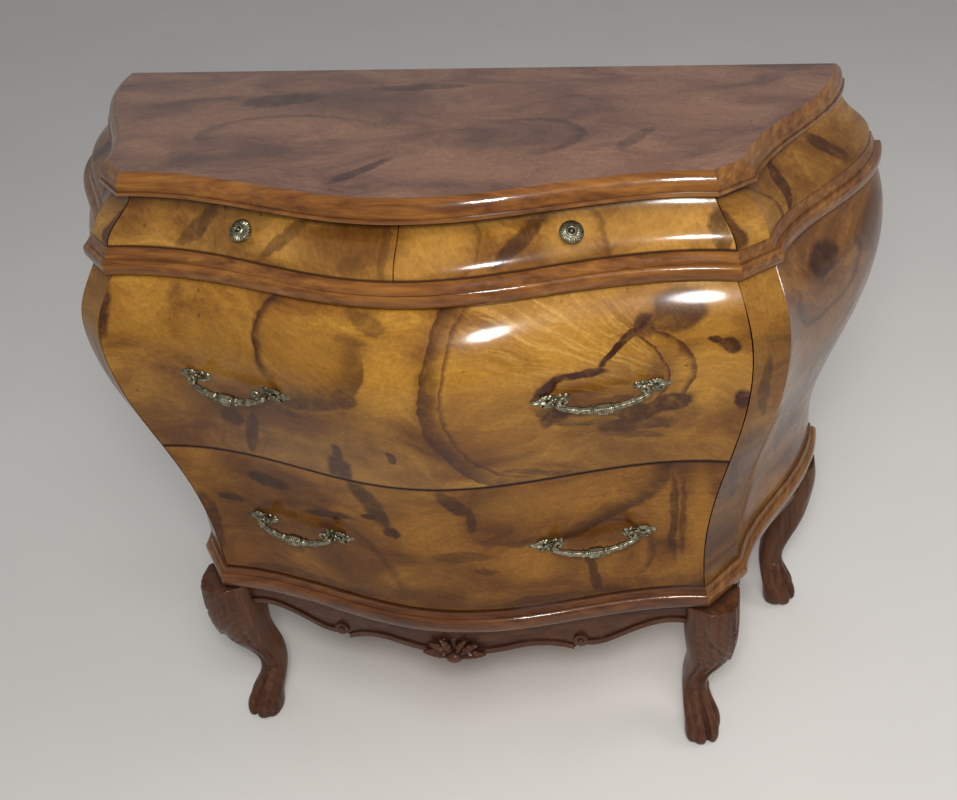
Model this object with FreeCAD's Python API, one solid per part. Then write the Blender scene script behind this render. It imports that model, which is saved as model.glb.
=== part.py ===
import FreeCAD, Part
import math
import os
from FreeCAD import Vector

os.makedirs("parts", exist_ok=True)

# Bombe chest: two small drawers in a flared frieze over two deep swelling drawers,
# on cabriole legs. Millimetres, +Z up, -Y is the front. The origin is on the floor
# under the middle of the whole chest.

# Heights of the layers, from the floor up
legTopZ = 245.0
baseHeight = 29.0
bodyBaseZ = legTopZ + baseHeight
lowerFrontHeight = 216.0
upperFrontHeight = 244.0
drawerSeamZ = bodyBaseZ + lowerFrontHeight
bodyTopZ = drawerSeamZ + upperFrontHeight
waistHeight = 32.0
friezeBaseZ = bodyTopZ + waistHeight
friezeHeight = 59.0
friezeTopZ = friezeBaseZ + friezeHeight
topThickness = 25.0
topHeight = friezeTopZ + topThickness

# Depths
overallDepth = 480.0
foremostY = -overallDepth / 2
topBackY = overallDepth / 2
backOverhang = 30.0
bodyBackY = topBackY - backOverhang

# Plan of the body where it meets the base: the front bows out between the corners,
# a flat cant turns each corner, and each side sweeps out to the back.
baseCornerX = 329.0
baseHalfBack = 477.0
bowDepth = 62.0
bowRun = 335.0
cantWidth = 42.0
cantDepth = 54.0

# The swelling of the body: how far it comes out, and over which heights
centreBelly = 39.0
cornerBellyY = 21.0
cornerBellyX = 60.0
sideBelly = 88.0
cantTurn = 16.0
bellyZ = bodyTopZ - 84.0
frontRiseZ = drawerSeamZ - 90.0
cantRiseZ = drawerSeamZ + 60.0
sideRiseZ = bodyBaseZ + 34.0
shoulderCentre = 52.0
shoulderCornerY = 38.0
shoulderCornerX = 19.0
shoulderSide = 17.0

# Plan of the frieze at its top, and how far it flares on its way down
friezeCornerX = 344.0
friezeSetBack = 102.0
friezeBow = 59.0
friezeCantWidth = 35.0
friezeCantDepth = 31.0
friezeHalfBack = 500.0
flareCornerX = 26.0
flareCornerY = 38.0
flareCentre = 53.0
flareSide = 41.0

# Top board inside its edge moulding
topCornerX = 343.0
topSetBack = 86.0
topBow = 68.0
topCantWidth = 33.0
topCantDepth = 30.0
topHalfBack = 492.0
topEdge = 15.0
beadHeight = 4.5
beadStep = 2.5

# Mouldings round the waist and the base
mouldingWidth = 12.0
waistBandHeight = 19.0
waistOut = 10.0
baseOut = 13.0
baseFilletHeight = 7.0

# Case boards
panelThickness = 20.0
stileDepth = 25.0
backThickness = 8.0
boardClearance = 0.7
railThickness = 20.0
railTopZ = drawerSeamZ + railThickness / 2
railDepth = 52.0
railGap = 2.5
railTenon = 8.0
runnerWidth = 42.0
guideThickness = 12.0
guideHeight = 14.0
dividerThickness = 18.0

# Drawers
frontThickness = 24.0
friezeFrontThickness = 22.0
frontGap = 1.5
runClearance = 0.4
guideClearance = 1.2
drawerWall = 12.0
drawerBottom = 8.0
bottomGroove = 5.0
bottomRaise = 6.0
smallBottom = 5.0
smallBottomRaise = 2.5
drawerBackGap = 12.0
headroom = 14.0
smallHeadroom = 9.0
friezeBoxGap = 6.0
friezeBoxInset = 22.0
upperBoxInset = 35.0
lowerBoxInset = 21.0

# Aprons under the base moulding, and the legs
apronThickness = 22.0
apronTuck = 17.0
apronDrop = 58.0
frontLegWidth = 70.0
rearLegWidth = 66.0
legSquareness = 0.3

# Carving: a bead along the apron, a shell at its middle, volutes, and a leaf on each front knee
beadOut = 3.0
beadWidth = 8.0
shellLobes = 7
shellReach = 36.0
lobeRadius = 5.5
budRadius = 10.0
voluteRadius = 9.5
voluteOut = 5.0
leafOut = 4.5
leafDrop = 104.0
leafHalfWidth = 34.0
leafEyeRadius = 5.0

# Pulls and knobs
upperPullX = 219.0
upperPullZ = drawerSeamZ + 130.0
lowerPullX = 192.0
lowerPullZ = bodyBaseZ + 105.0
pullPostX = 52.0
pullPostRadius = 4.5
pullReach = 13.0
pullDroop = 10.0
pullSpring = 4.0
pullBowRadius = 4.8
pullBowEndRadius = 3.4
leafTipX = 78.0
leafInnerX = 37.0
leafHalfHeight = 10.5
leafThickness = 3.0
seatAllowance = 9.0
knobX = 188.0
knobZ = friezeBaseZ + 26.0
knobRadius = 14.0
knobReach = 15.0
screwRadius = 2.0
screwClearance = 0.15
screwHeadRadius = 4.5
screwHeadHeight = 2.5
screwBite = 8.0
headClearance = 0.3
knobFlutes = 12

levelStep = 38.0
loftDegree = 3
mitre = math.tan(math.pi / 8)

# Share of the side's sweep reached at equal steps from the cant to the back
sideSweep = (0.0, 0.145, 0.42, 0.715, 0.92, 1.0)


class Outline:
    """Half plan of the chest at one height; the other half is its mirror image."""

    def __init__(self, corner, side, centreY, halfBack, backY=bodyBackY):
        self.cornerX, self.cornerY = corner
        self.sideX, self.sideY = side
        self.centreY = centreY
        self.halfBack = halfBack
        self.backY = backY

    def grown(self, out):
        """The same plan with every edge moved out, and its corners kept on their mitres."""
        corner = (self.cornerX + mitre * out, self.cornerY - out)
        side = (self.sideX + out, self.sideY - mitre * out)
        return Outline(corner, side, self.centreY - out, self.halfBack + out, self.backY)

    def frontY(self, x):
        def share(run):
            return (1 - math.cos(math.pi * min(abs(run), bowRun) / bowRun)) / 2
        return self.centreY + (self.cornerY - self.centreY) * share(x) / share(self.cornerX)


def easeOut(z, start, end):
    share = min(max((z - start) / (end - start), 0.0), 1.0)
    return (1 - math.cos(math.pi * share)) / 2


def bodyOutline(z):
    """Plan of the swelling body at height z."""
    shoulder = (max(z - bellyZ, 0.0) / (bodyTopZ - bellyZ)) ** 2
    front = easeOut(z, frontRiseZ, bellyZ)
    side = easeOut(z, sideRiseZ, bellyZ)
    centreY = foremostY + centreBelly * (1 - front) + shoulderCentre * shoulder
    cornerX = baseCornerX + cornerBellyX * side - shoulderCornerX * shoulder
    cornerY = foremostY + centreBelly + bowDepth - cornerBellyY * front + shoulderCornerY * shoulder
    depth = cantDepth - cantTurn * easeOut(z, frontRiseZ, cantRiseZ)
    halfBack = baseHalfBack + sideBelly * side - shoulderSide * shoulder
    return Outline((cornerX, cornerY), (cornerX + cantWidth, cornerY + depth), centreY, halfBack)


def friezeOutline(z):
    """Plan of the frieze, which flares out on its way down to the waist."""
    flare = easeOut(friezeTopZ - z, 0.0, friezeHeight)
    centreY = foremostY + friezeSetBack
    corner = (friezeCornerX + flareCornerX * flare, centreY + friezeBow - flareCornerY * flare)
    side = (corner[0] + friezeCantWidth, corner[1] + friezeCantDepth)
    return Outline(corner, side, centreY - flareCentre * flare, friezeHalfBack + flareSide * flare)


topCentreY = foremostY + topSetBack
topCornerY = topCentreY + topBow
topOutline = Outline((topCornerX, topCornerY),
                     (topCornerX + topCantWidth, topCornerY + topCantDepth),
                     topCentreY, topHalfBack, topBackY)
baseOutline = bodyOutline(bodyBaseZ)
upperBoxHalf = bodyOutline(railTopZ).cornerX - upperBoxInset
lowerBoxHalf = baseOutline.cornerX - lowerBoxInset
friezeBoxHalf = friezeCornerX - friezeBoxInset
frontApronHalf = baseOutline.cornerX - apronTuck


def levels(low, high):
    count = max(2, round((high - low) / levelStep) + 1)
    return [low + (high - low) * i / (count - 1) for i in range(count)]


def spline(points):
    curve = Part.BSplineCurve()
    curve.interpolate(points)
    return curve.toShape()


def frontCurve(outline, z, start, end, back=0.0):
    count = 9 if end - start > outline.cornerX else 6
    xs = [start + (end - start) * i / (count - 1) for i in range(count)]
    return spline([Vector(x, outline.frontY(x) + back, z) for x in xs])


def sideCurve(outline, z, inset=0.0):
    steps = len(sideSweep) - 1
    points = []
    for i, share in enumerate(sideSweep):
        x = outline.sideX + (outline.halfBack - outline.sideX) * share - inset
        y = outline.sideY + (outline.backY - outline.sideY) * i / steps
        points.append(Vector(x, y, z))
    return spline(points)


def ends(edge):
    return edge.valueAt(edge.FirstParameter), edge.valueAt(edge.LastParameter)


def line(start, end):
    return Part.LineSegment(start, end).toShape()


def mirrored(shape):
    return shape.mirror(Vector(0, 0, 0), Vector(1, 0, 0))


def loft(wires):
    return Part.makeLoft(wires, True, False, False, loftDegree)


def box(xLow, xHigh, yLow, yHigh, zLow, zHigh):
    return Part.makeBox(xHigh - xLow, yHigh - yLow, zHigh - zLow, Vector(xLow, yLow, zLow))


def planWire(outline, z):
    """The whole plan as one closed wire: bow, cants, sides and back."""
    front = frontCurve(outline, z, -outline.cornerX, outline.cornerX)
    frontLeft, frontRight = ends(front)
    side = sideCurve(outline, z)
    sideFront, sideBack = ends(side)
    otherSide = mirrored(side)
    otherFront, otherBack = ends(otherSide)
    return Part.Wire([front, line(frontRight, sideFront), side, line(sideBack, otherBack),
                      otherSide, line(otherFront, frontLeft)])


def slab(outline, low, high):
    return Part.Face(planWire(outline, low)).extrude(Vector(0, 0, high - low))


def profiledSlab(steps):
    """A slab whose edge follows a moulding profile, given as (outline, z) from the bottom up."""
    return loft([planWire(outline, z) for outline, z in steps])


def mitredPieces(ring, corner):
    """Cut a moulding that runs round the chest into a front, a left and a right length."""
    x, y = corner
    behind, before = overallDepth / 8, overallDepth / 2
    near = Vector(x - mitre * behind, y + behind, 0)
    far = Vector(x + mitre * before, y - before, 0)
    outline = Part.makePolygon([near, far, Vector(-far.x, far.y, 0), Vector(-near.x, near.y, 0), near])
    wedge = Part.Face(outline).extrude(Vector(0, 0, 2 * topHeight))
    rightHalf = box(0, 2 * topHalfBack, -overallDepth, overallDepth, 0, 2 * topHeight)
    sides = ring.cut(wedge)
    right = sides.common(rightHalf)
    return ring.common(wedge), mirrored(right), right


def export(name, shape):
    solids = shape.Solids
    whole = solids[0] if len(solids) == 1 else Part.makeCompound(solids)
    whole.exportStep("parts/" + name + ".step")
    box_ = whole.optimalBoundingBox(False, False)
    print("%-28s solids %d  x %.0f..%.0f  y %.0f..%.0f  z %.1f..%.1f" % (
        name, len(solids), box_.XMin, box_.XMax, box_.YMin, box_.YMax, box_.ZMin, box_.ZMax))


def exportPair(name, right):
    export(name + "_right", right)
    export(name + "_left", mirrored(right))


# Top: a veneered board in a solid edge moulding with a thumbnail edge over a thin bead
def makeTop():
    board = slab(topOutline, friezeTopZ, topHeight)
    bead = slab(topOutline.grown(topEdge), friezeTopZ, friezeTopZ + beadHeight)
    springZ = friezeTopZ + beadHeight
    rise = topHeight - springZ
    steps = []
    for i in range(6):
        angle = math.pi / 2 * i / 5
        out = (topEdge - beadStep) * math.cos(angle)
        steps.append((topOutline.grown(out), springZ + rise * math.sin(angle)))
    ring = bead.fuse(profiledSlab(steps)).cut(board)
    front, left, right = mitredPieces(ring, (topCornerX, topCornerY))
    export("top_board", board)
    export("top_moulding_front", front)
    export("top_moulding_left", left)
    export("top_moulding_right", right)


# Waist: a board that carries the small drawers, edged by a rounded band and a small ogee
def makeWaist():
    low = bodyOutline(bodyTopZ)
    high = friezeOutline(friezeBaseZ)
    board = slab(high.grown(-mouldingWidth), bodyTopZ, friezeBaseZ)
    bandZ = bodyTopZ + waistBandHeight
    band = []
    for i in range(5):
        angle = math.pi * i / 4
        out = waistOut * (0.65 + 0.35 * math.sin(angle))
        band.append((low.grown(out), bodyTopZ + waistBandHeight * (1 - math.cos(angle)) / 2))
    step = [(high.grown(waistOut * out), bandZ + (friezeBaseZ - bandZ) * share)
            for out, share in ((0.7, 0.0), (0.56, 0.35), (0.3, 0.69), (0.2, 1.0))]
    ring = profiledSlab(band).fuse(profiledSlab(step)).cut(board)
    front, left, right = mitredPieces(ring, (high.cornerX, high.cornerY))
    export("waist_board", board)
    export("waist_moulding_front", front)
    export("waist_moulding_left", left)
    export("waist_moulding_right", right)


# Base: the bottom board inside a half-round moulding with a fillet above it
def makeBase():
    outline = baseOutline
    board = slab(outline.grown(-mouldingWidth), legTopZ, bodyBaseZ)
    filletZ = bodyBaseZ - baseFilletHeight
    band = []
    for i in range(5):
        angle = math.pi * i / 4
        out = baseOut * (0.62 + 0.38 * math.sin(angle))
        band.append((outline.grown(out), legTopZ + (filletZ - legTopZ) * (1 - math.cos(angle)) / 2))
    fillet = [(outline.grown(baseOut * out), filletZ + baseFilletHeight * share)
              for out, share in ((0.46, 0.0), (0.31, 0.5), (0.23, 1.0))]
    ring = profiledSlab(band).fuse(profiledSlab(fillet)).cut(board)
    front, left, right = mitredPieces(ring, (outline.cornerX, outline.cornerY))
    export("bottom_board", board)
    export("base_moulding_front", front)
    export("base_moulding_left", left)
    export("base_moulding_right", right)


def stileWire(z):
    outline = bodyOutline(z)
    inner = outline.sideX - panelThickness
    points = [Vector(outline.cornerX, outline.cornerY, z), Vector(outline.sideX, outline.sideY, z),
              Vector(inner, outline.sideY, z), Vector(inner, outline.sideY + stileDepth, z),
              Vector(outline.cornerX, outline.sideY + stileDepth, z)]
    return Part.makePolygon(points + points[:1])


def sideWire(outline, z):
    outer = sideCurve(outline, z)
    inner = sideCurve(outline, z, panelThickness)
    outerFront, outerBack = ends(outer)
    innerFront, innerBack = ends(inner)
    return Part.Wire([outer, line(outerBack, innerBack), inner, line(innerFront, outerFront)])


def friezeSideWire(z):
    """Frieze side in one piece with its canted corner block."""
    outline = friezeOutline(z)
    outer = sideCurve(outline, z)
    inner = sideCurve(outline, z, panelThickness)
    outerFront, outerBack = ends(outer)
    innerFront, innerBack = ends(inner)
    corner = Vector(outline.cornerX, outline.cornerY, z)
    block = Vector(outline.cornerX, outline.sideY, z)
    return Part.Wire([line(corner, outerFront), outer, line(outerBack, innerBack), inner,
                      line(innerFront, block), line(block, corner)])


def backBoard(outlineAt, heights):
    """A flat back between the sides, with its ends following their swelling."""
    clear = panelThickness + boardClearance
    frontY = bodyBackY - backThickness
    right = spline([Vector(outlineAt(z).halfBack - clear, frontY, z) for z in heights])
    left = mirrored(right)
    rightLow, rightHigh = ends(right)
    leftLow, leftHigh = ends(left)
    face = Part.Face(Part.Wire([right, line(rightHigh, leftHigh), left, line(leftLow, rightLow)]))
    return face.extrude(Vector(0, backThickness, 0))


# Case: canted stiles, swept sides, backs, the rail behind the seam and what carries the drawers
def makeCase():
    bodyLevels = levels(bodyBaseZ, bodyTopZ)
    friezeLevels = [friezeBaseZ + friezeHeight * i / 4 for i in range(5)]
    stile = loft([stileWire(z) for z in bodyLevels])
    exportPair("corner_stile", stile)
    exportPair("side_panel", loft([sideWire(bodyOutline(z), z) for z in bodyLevels]))
    exportPair("frieze_side", loft([friezeSideWire(z) for z in friezeLevels]))
    export("back_panel", backBoard(bodyOutline, bodyLevels))
    export("frieze_back", backBoard(friezeOutline, friezeLevels))

    railLowZ = railTopZ - railThickness
    seam = bodyOutline(railLowZ)
    reach = seam.cornerX + railTenon
    railFront = frontThickness + railGap
    railBackY = seam.cornerY + railFront + railDepth
    front = frontCurve(seam, railLowZ, -reach, reach, railFront)
    left, right = ends(front)
    backLeft = Vector(left.x, railBackY, railLowZ)
    backRight = Vector(right.x, railBackY, railLowZ)
    rail = Part.Face(Part.Wire([front, line(right, backRight), line(backRight, backLeft),
                                line(backLeft, left)])).extrude(Vector(0, 0, railThickness))
    export("middle_rail", rail.cut(stile).cut(mirrored(stile)))

    backY = bodyBackY - backThickness
    guideX = upperBoxHalf + guideClearance
    outerX = guideX + guideThickness
    runner = box(outerX - runnerWidth, outerX, railBackY, backY, railLowZ, railTopZ)
    guide = box(guideX, outerX, railBackY, backY, railTopZ, railTopZ + guideHeight)
    runner = runner.fuse(guide).removeSplitter()
    export("middle_runners", Part.makeCompound([runner, mirrored(runner)]))

    guideX = lowerBoxHalf + guideClearance
    guide = box(guideX, guideX + guideThickness, railBackY, backY, bodyBaseZ, bodyBaseZ + guideHeight)
    export("lower_guides", Part.makeCompound([guide, mirrored(guide)]))

    guideX = friezeBoxHalf + guideClearance
    friezeTop = friezeOutline(friezeTopZ)
    guideFrontY = friezeTop.sideY + panelThickness
    guide = box(guideX, guideX + guideThickness, guideFrontY, backY,
                friezeBaseZ, friezeBaseZ + guideHeight)
    export("frieze_guides", Part.makeCompound([guide, mirrored(guide)]))
    half = dividerThickness / 2
    dividerFrontY = friezeTop.centreY + friezeFrontThickness + railGap
    export("frieze_divider", box(-half, half, dividerFrontY, backY, friezeBaseZ, friezeTopZ))


def frontSection(outline, z, start, end, thickness):
    outer = frontCurve(outline, z, start, end)
    inner = frontCurve(outline, z, start, end, thickness)
    outerStart, outerEnd = ends(outer)
    innerStart, innerEnd = ends(inner)
    return Part.Wire([outer, line(outerEnd, innerEnd), inner, line(innerStart, outerStart)])


def bodyFront(low, high):
    """Front of a deep drawer: bowed in plan and swelling in height."""
    wires = []
    for z in levels(low, high):
        outline = bodyOutline(z)
        reach = outline.cornerX - frontGap
        wires.append(frontSection(outline, z, -reach, reach, frontThickness))
    return loft(wires)


def friezeFront(low, high):
    """Front of the right small drawer, from the seam in the middle to the cant."""
    wires = []
    for i in range(5):
        z = low + (high - low) * i / 4
        outline = friezeOutline(z)
        wires.append(frontSection(outline, z, frontGap / 2, outline.cornerX - frontGap,
                                  friezeFrontThickness))
    return loft(wires)


def keepBehind(board, front):
    """Trim a board to the inner face of a drawer front and drop what is left before it."""
    return max(board.cut(front).Solids, key=lambda solid: solid.BoundBox.YMax)


def makeDrawerBox(name, front, xRange, zRange, raised=bottomRaise, thickness=drawerBottom):
    """Sides, back and grooved-in bottom of a drawer, fitted against the inside of its front."""
    xLow, xHigh = xRange
    zLow, zHigh = zRange
    frontY = -overallDepth / 2
    backY = bodyBackY - backThickness - drawerBackGap
    bottomZ = zLow + raised
    bottom = keepBehind(box(xLow + drawerWall - bottomGroove, xHigh - drawerWall + bottomGroove,
                            frontY, backY - drawerWall, bottomZ, bottomZ + thickness), front)
    sides = []
    for x in (xLow, xHigh - drawerWall):
        board = keepBehind(box(x, x + drawerWall, frontY, backY, zLow, zHigh), front)
        sides.append(board.cut(bottom))
    export(name + "_sides", Part.makeCompound(sides))
    export(name + "_back", box(xLow + drawerWall, xHigh - drawerWall, backY - drawerWall, backY,
                               zLow, zHigh))
    export(name + "_bottom", bottom)


def surfaceFrame(outlineAt, x, z, reach):
    """Matrix that puts a fitting on a drawer front: local X runs along it, Y up and Z out.

    The fitting rests on the chord that spans its reach to each side.
    """
    outline = outlineAt(z)
    left = Vector(x - reach, outline.frontY(x - reach), z)
    right = Vector(x + reach, outline.frontY(x + reach), z)
    here = (left + right) * 0.5
    along = (right - left).normalize()
    rising = Vector(0, outlineAt(z + 1).frontY(x) - outlineAt(z - 1).frontY(x), 2)
    out = along.cross(rising).normalize()
    up = out.cross(along)
    return FreeCAD.Matrix(along.x, up.x, out.x, here.x,
                          along.y, up.y, out.y, here.y,
                          along.z, up.z, out.z, here.z, 0, 0, 0, 1)


def placed(shape, matrix):
    copy = shape.copy()
    copy.transformShape(matrix, True)
    return copy


def rod(x, radius, low, high):
    return Part.makeCylinder(radius, high - low, Vector(x, 0, low), Vector(0, 0, 1))


def makePull():
    """A cast pull: two leaf plates on posts, joined by a drooping bow."""
    kneeZ = pullReach
    whole = None
    for side in (-1, 1):
        tip = Vector(side * leafTipX, -2, -seatAllowance)
        root = Vector(side * leafInnerX, 1, -seatAllowance)
        middle = side * (leafTipX + leafInnerX) / 2
        upper = Part.Arc(tip, Vector(middle, leafHalfHeight, -seatAllowance), root).toShape()
        lower = Part.Arc(root, Vector(middle, -leafHalfHeight, -seatAllowance), tip).toShape()
        leaf = Part.Face(Part.Wire([upper, lower])).extrude(Vector(0, 0, seatAllowance + leafThickness))
        knuckle = Part.makeSphere(pullPostRadius + 1, Vector(side * pullPostX, 0, kneeZ))
        end = leaf.fuse([rod(side * pullPostX, pullPostRadius, 0, kneeZ), knuckle])
        whole = end if whole is None else whole.fuse(end)
    wires = []
    for i in range(9):
        share = i / 4 - 1
        sag = 1 - share ** 2
        centre = Vector(pullPostX * share, -pullDroop * sag ** 0.8, kneeZ + pullSpring * sag)
        heading = Vector(pullPostX, 1.6 * pullDroop * share, -2 * pullSpring * share)
        radius = pullBowEndRadius + (pullBowRadius - pullBowEndRadius) * sag
        wires.append(Part.Wire(Part.makeCircle(radius, centre, heading)))
    return whole.fuse(loft(wires))


def makeKnob():
    """A turned knob: a plain seat, a waisted neck and a fluted head with a domed crown."""
    rim = knobRadius
    headZ = knobReach - 5
    points = [(0, -seatAllowance), (rim * 0.62, -seatAllowance), (rim * 0.62, 1.5),
              (rim * 0.5, 4), (rim * 0.62, headZ - 4), (rim, headZ - 1.5), (rim, headZ)]
    corners = [Vector(x, 0, z) for x, z in points]
    edges = [line(start, end) for start, end in zip(corners[:-1], corners[1:])]
    crown = Vector(0, 0, knobReach)
    rise = knobReach - headZ
    domeRadius = (rim ** 2 + rise ** 2) / (2 * rise)
    half = math.asin(rim / domeRadius) / 2
    shoulder = Vector(domeRadius * math.sin(half), 0, knobReach - domeRadius * (1 - math.cos(half)))
    edges.append(Part.Arc(corners[-1], shoulder, crown).toShape())
    edges.append(line(crown, corners[0]))
    knob = Part.Face(Part.Wire(edges)).revolve(Vector(0, 0, 0), Vector(0, 0, 1), 360)
    for i in range(knobFlutes):
        angle = 2 * math.pi * (i + 0.5) / knobFlutes
        centre = Vector(rim * 1.13 * math.cos(angle), rim * 1.13 * math.sin(angle), headZ - 5)
        knob = knob.cut(Part.makeCylinder(rim * 0.2, 14, centre, Vector(0, 0, 1)))
    return knob


def innerDepth(front, matrix, x):
    """How far behind the seat a drawer front ends under the head of a screw, at its deepest."""
    far = 4 * frontThickness
    deepest = 0.0
    for aside, rise in ((0, 0), (1, 0), (-1, 0), (0, 1), (0, -1)):
        screwX = x + aside * screwHeadRadius
        screwY = rise * screwHeadRadius
        probe = placed(line(Vector(screwX, screwY, -far), Vector(screwX, screwY, 0)), matrix)
        start, end = ends(probe)
        axis = (end - start).normalize()
        reached = min((vertex.Point - start).dot(axis) for vertex in probe.common(front).Vertexes)
        deepest = max(deepest, far - reached)
    return deepest


def finishDrawer(name, front, fitting, fittingNames, matrices, screwXs):
    """Seat the fittings on a drawer front and screw them on from inside."""
    bored = front
    screws = []
    for fittingName, matrix in zip(fittingNames, matrices):
        seated = max(placed(fitting, matrix).cut(front).Solids, key=lambda solid: solid.Volume)
        for x in screwXs:
            headZ = -innerDepth(front, matrix, x) - headClearance
            bore = rod(x, screwRadius + screwClearance, headZ - 5, screwBite + 0.5)
            bored = bored.cut(placed(bore, matrix))
            seated = seated.cut(placed(bore, matrix))
            screw = rod(x, screwRadius, headZ, screwBite)
            screw = screw.fuse(rod(x, screwHeadRadius, headZ - screwHeadHeight, headZ))
            screws.append(placed(screw.removeSplitter(), matrix))
        export(fittingName, seated)
    export(name + "_front", bored)
    export(name + "_screws", Part.makeCompound(screws))


def makeDeepDrawer(name, pull, pullX, pullZ, frontRange, boxHalf, boxRange):
    front = bodyFront(*frontRange)
    makeDrawerBox(name, front, (-boxHalf, boxHalf), boxRange)
    matrices = [surfaceFrame(bodyOutline, x, pullZ, leafTipX - 3) for x in (-pullX, pullX)]
    names = [name + "_pull_left", name + "_pull_right"]
    finishDrawer(name, front, pull, names, matrices, (-pullPostX, pullPostX))


def makeDrawers():
    pull = makePull()
    makeDeepDrawer("upper_drawer", pull, upperPullX, upperPullZ,
                   (drawerSeamZ + frontGap / 2, bodyTopZ - frontGap), upperBoxHalf,
                   (railTopZ + runClearance, bodyTopZ - headroom))
    lowZ = bodyBaseZ + runClearance
    makeDeepDrawer("lower_drawer", pull, lowerPullX, lowerPullZ,
                   (lowZ, drawerSeamZ - frontGap / 2), lowerBoxHalf,
                   (lowZ, railTopZ - railThickness - headroom))

    lowZ = friezeBaseZ + runClearance
    front = friezeFront(lowZ, friezeTopZ - frontGap)
    knob = makeKnob()
    for side, sign in (("right", 1), ("left", -1)):
        name = "small_drawer_" + side
        drawerFront = front if sign > 0 else mirrored(front)
        innerX = dividerThickness / 2 + friezeBoxGap
        xRange = sorted((sign * innerX, sign * friezeBoxHalf))
        makeDrawerBox(name, drawerFront, xRange, (lowZ, friezeTopZ - smallHeadroom),
                      smallBottomRaise, smallBottom)
        matrix = surfaceFrame(friezeOutline, sign * knobX, knobZ, 1)
        finishDrawer(name, drawerFront, knob, [name + "_knob"], [matrix], (0,))


# Sections of the legs from the floor up: the height as a share of the leg's, then how far out
# and back the middle lies from the corner it carries, and the width, as shares of the leg's width
frontLegPath = ((0.0, -0.086, -0.157, 0.63), (0.05, -0.086, -0.171, 0.7),
                (0.122, -0.114, -0.043, 0.67), (0.188, -0.2, 0.143, 0.57),
                (0.261, -0.243, 0.286, 0.515), (0.367, -0.2, 0.314, 0.57),
                (0.498, -0.043, 0.229, 0.73), (0.653, 0.057, 0.171, 0.9),
                (0.816, 0.086, 0.171, 0.985), (1.0, 0.086, 0.243, 1.0))
rearLegPath = ((0.0, -0.667, -1.47, 0.667), (0.05, -0.636, -1.5, 0.758),
               (0.122, -0.682, -1.424, 0.712), (0.188, -0.788, -1.273, 0.606),
               (0.261, -0.848, -1.167, 0.545), (0.367, -0.788, -1.091, 0.606),
               (0.498, -0.621, -1.0, 0.758), (0.653, -0.47, -0.894, 0.909),
               (0.816, -0.379, -0.818, 1.0), (1.0, -0.379, -0.788, 1.0))


def legSection(z, x, y, width):
    points = []
    for i in range(12):
        angle = 2 * math.pi * i / 12 + math.pi / 12
        c, s = math.cos(angle), math.sin(angle)
        radius = width / 2 * (1 + legSquareness * abs(c * s) ** 1.5)
        points.append(Vector(x + radius * c, y + radius * s, z))
    curve = Part.BSplineCurve()
    curve.interpolate(Points=points, PeriodicFlag=True)
    return Part.Wire(curve.toShape())


def makeLeg(path, cornerX, cornerY, legWidth):
    return loft([legSection(height * legTopZ, cornerX + out * legWidth, cornerY + back * legWidth,
                            width * legWidth) for height, out, back, width in path])


# Lower edge of the front apron from the middle outwards: a shell, a long scroll that ends in
# a volute, and a shorter scroll into the leg, as shares of the apron's half length and drop
apronShell = ((0.0, 1.0), (0.058, 0.966), (0.109, 0.81))
apronScroll = ((0.109, 0.81), (0.205, 0.759), (0.308, 0.69), (0.417, 0.793), (0.497, 1.017))
apronVolute = ((0.497, 1.017), (0.529, 0.88))
apronKnee = ((0.529, 0.88), (0.609, 0.983), (0.712, 0.828), (0.808, 0.655), (1.0, 0.69))
sideApronEdge = ((0.0, 0.845), (0.3, 0.534), (0.55, 0.397), (0.8, 0.569), (1.0, 0.81))


def frontApronEdge():
    edges = []
    for table in (apronShell, apronScroll, apronVolute, apronKnee):
        edges.append(spline([Vector(frontApronHalf * along, 0, legTopZ - apronDrop * drop)
                             for along, drop in table]))
    return edges


def apronStrip(outline, lowZ, out, thickness):
    """The bowed board behind the front moulding, brought forward by the amount given."""
    outer = frontCurve(outline, lowZ, -frontApronHalf, frontApronHalf, -out)
    inner = frontCurve(outline, lowZ, -frontApronHalf, frontApronHalf, thickness)
    outerLeft, outerRight = ends(outer)
    innerLeft, innerRight = ends(inner)
    strip = Part.Face(Part.Wire([outer, line(outerRight, innerRight), inner, line(innerLeft, outerLeft)]))
    return strip.extrude(Vector(0, 0, legTopZ - lowZ))


def throughFront(wire):
    """A prism from front to back over an outline drawn on the front."""
    face = Part.Face(wire)
    face.translate(Vector(0, -overallDepth, 0))
    return face.extrude(Vector(0, 2 * overallDepth, 0))


def beadAbove(edge, strip):
    """The part of a raised strip that follows one stretch of the apron's lower edge."""
    upper = edge.copy()
    upper.translate(Vector(0, 0, beadWidth))
    low, high = ends(edge), ends(upper)
    wire = Part.Wire([edge, line(low[1], high[1]), upper, line(high[0], low[0])])
    return strip.common(throughFront(wire))


def apronShellCarving(outline):
    """Lobes fanned over a bud at the middle of the apron."""
    root = Vector(0, outline.centreY, legTopZ - 0.86 * apronDrop)
    carving = Part.makeSphere(budRadius, root)
    for i in range(shellLobes):
        angle = math.radians(-78 + 156 * i / (shellLobes - 1))
        reach = shellReach * (1 - 0.12 * math.cos(angle))
        x = reach * math.sin(angle)
        tip = Vector(x, outline.frontY(x) + 1.5, root.z + 0.8 * reach * math.cos(angle))
        lobe = Part.makeCylinder(lobeRadius, (tip - root).Length, root, tip - root)
        carving = carving.fuse([lobe, Part.makeSphere(lobeRadius, tip)])
    return carving


def volute(outline, x, z):
    """A small scroll end: a disc with a boss in its eye."""
    faceY = outline.frontY(x) - voluteOut
    disc = Part.makeCylinder(voluteRadius, voluteOut + 6, Vector(x, faceY, z), Vector(0, 1, 0))
    return disc.fuse(Part.makeSphere(0.45 * voluteRadius, Vector(x, faceY, z)))


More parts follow.
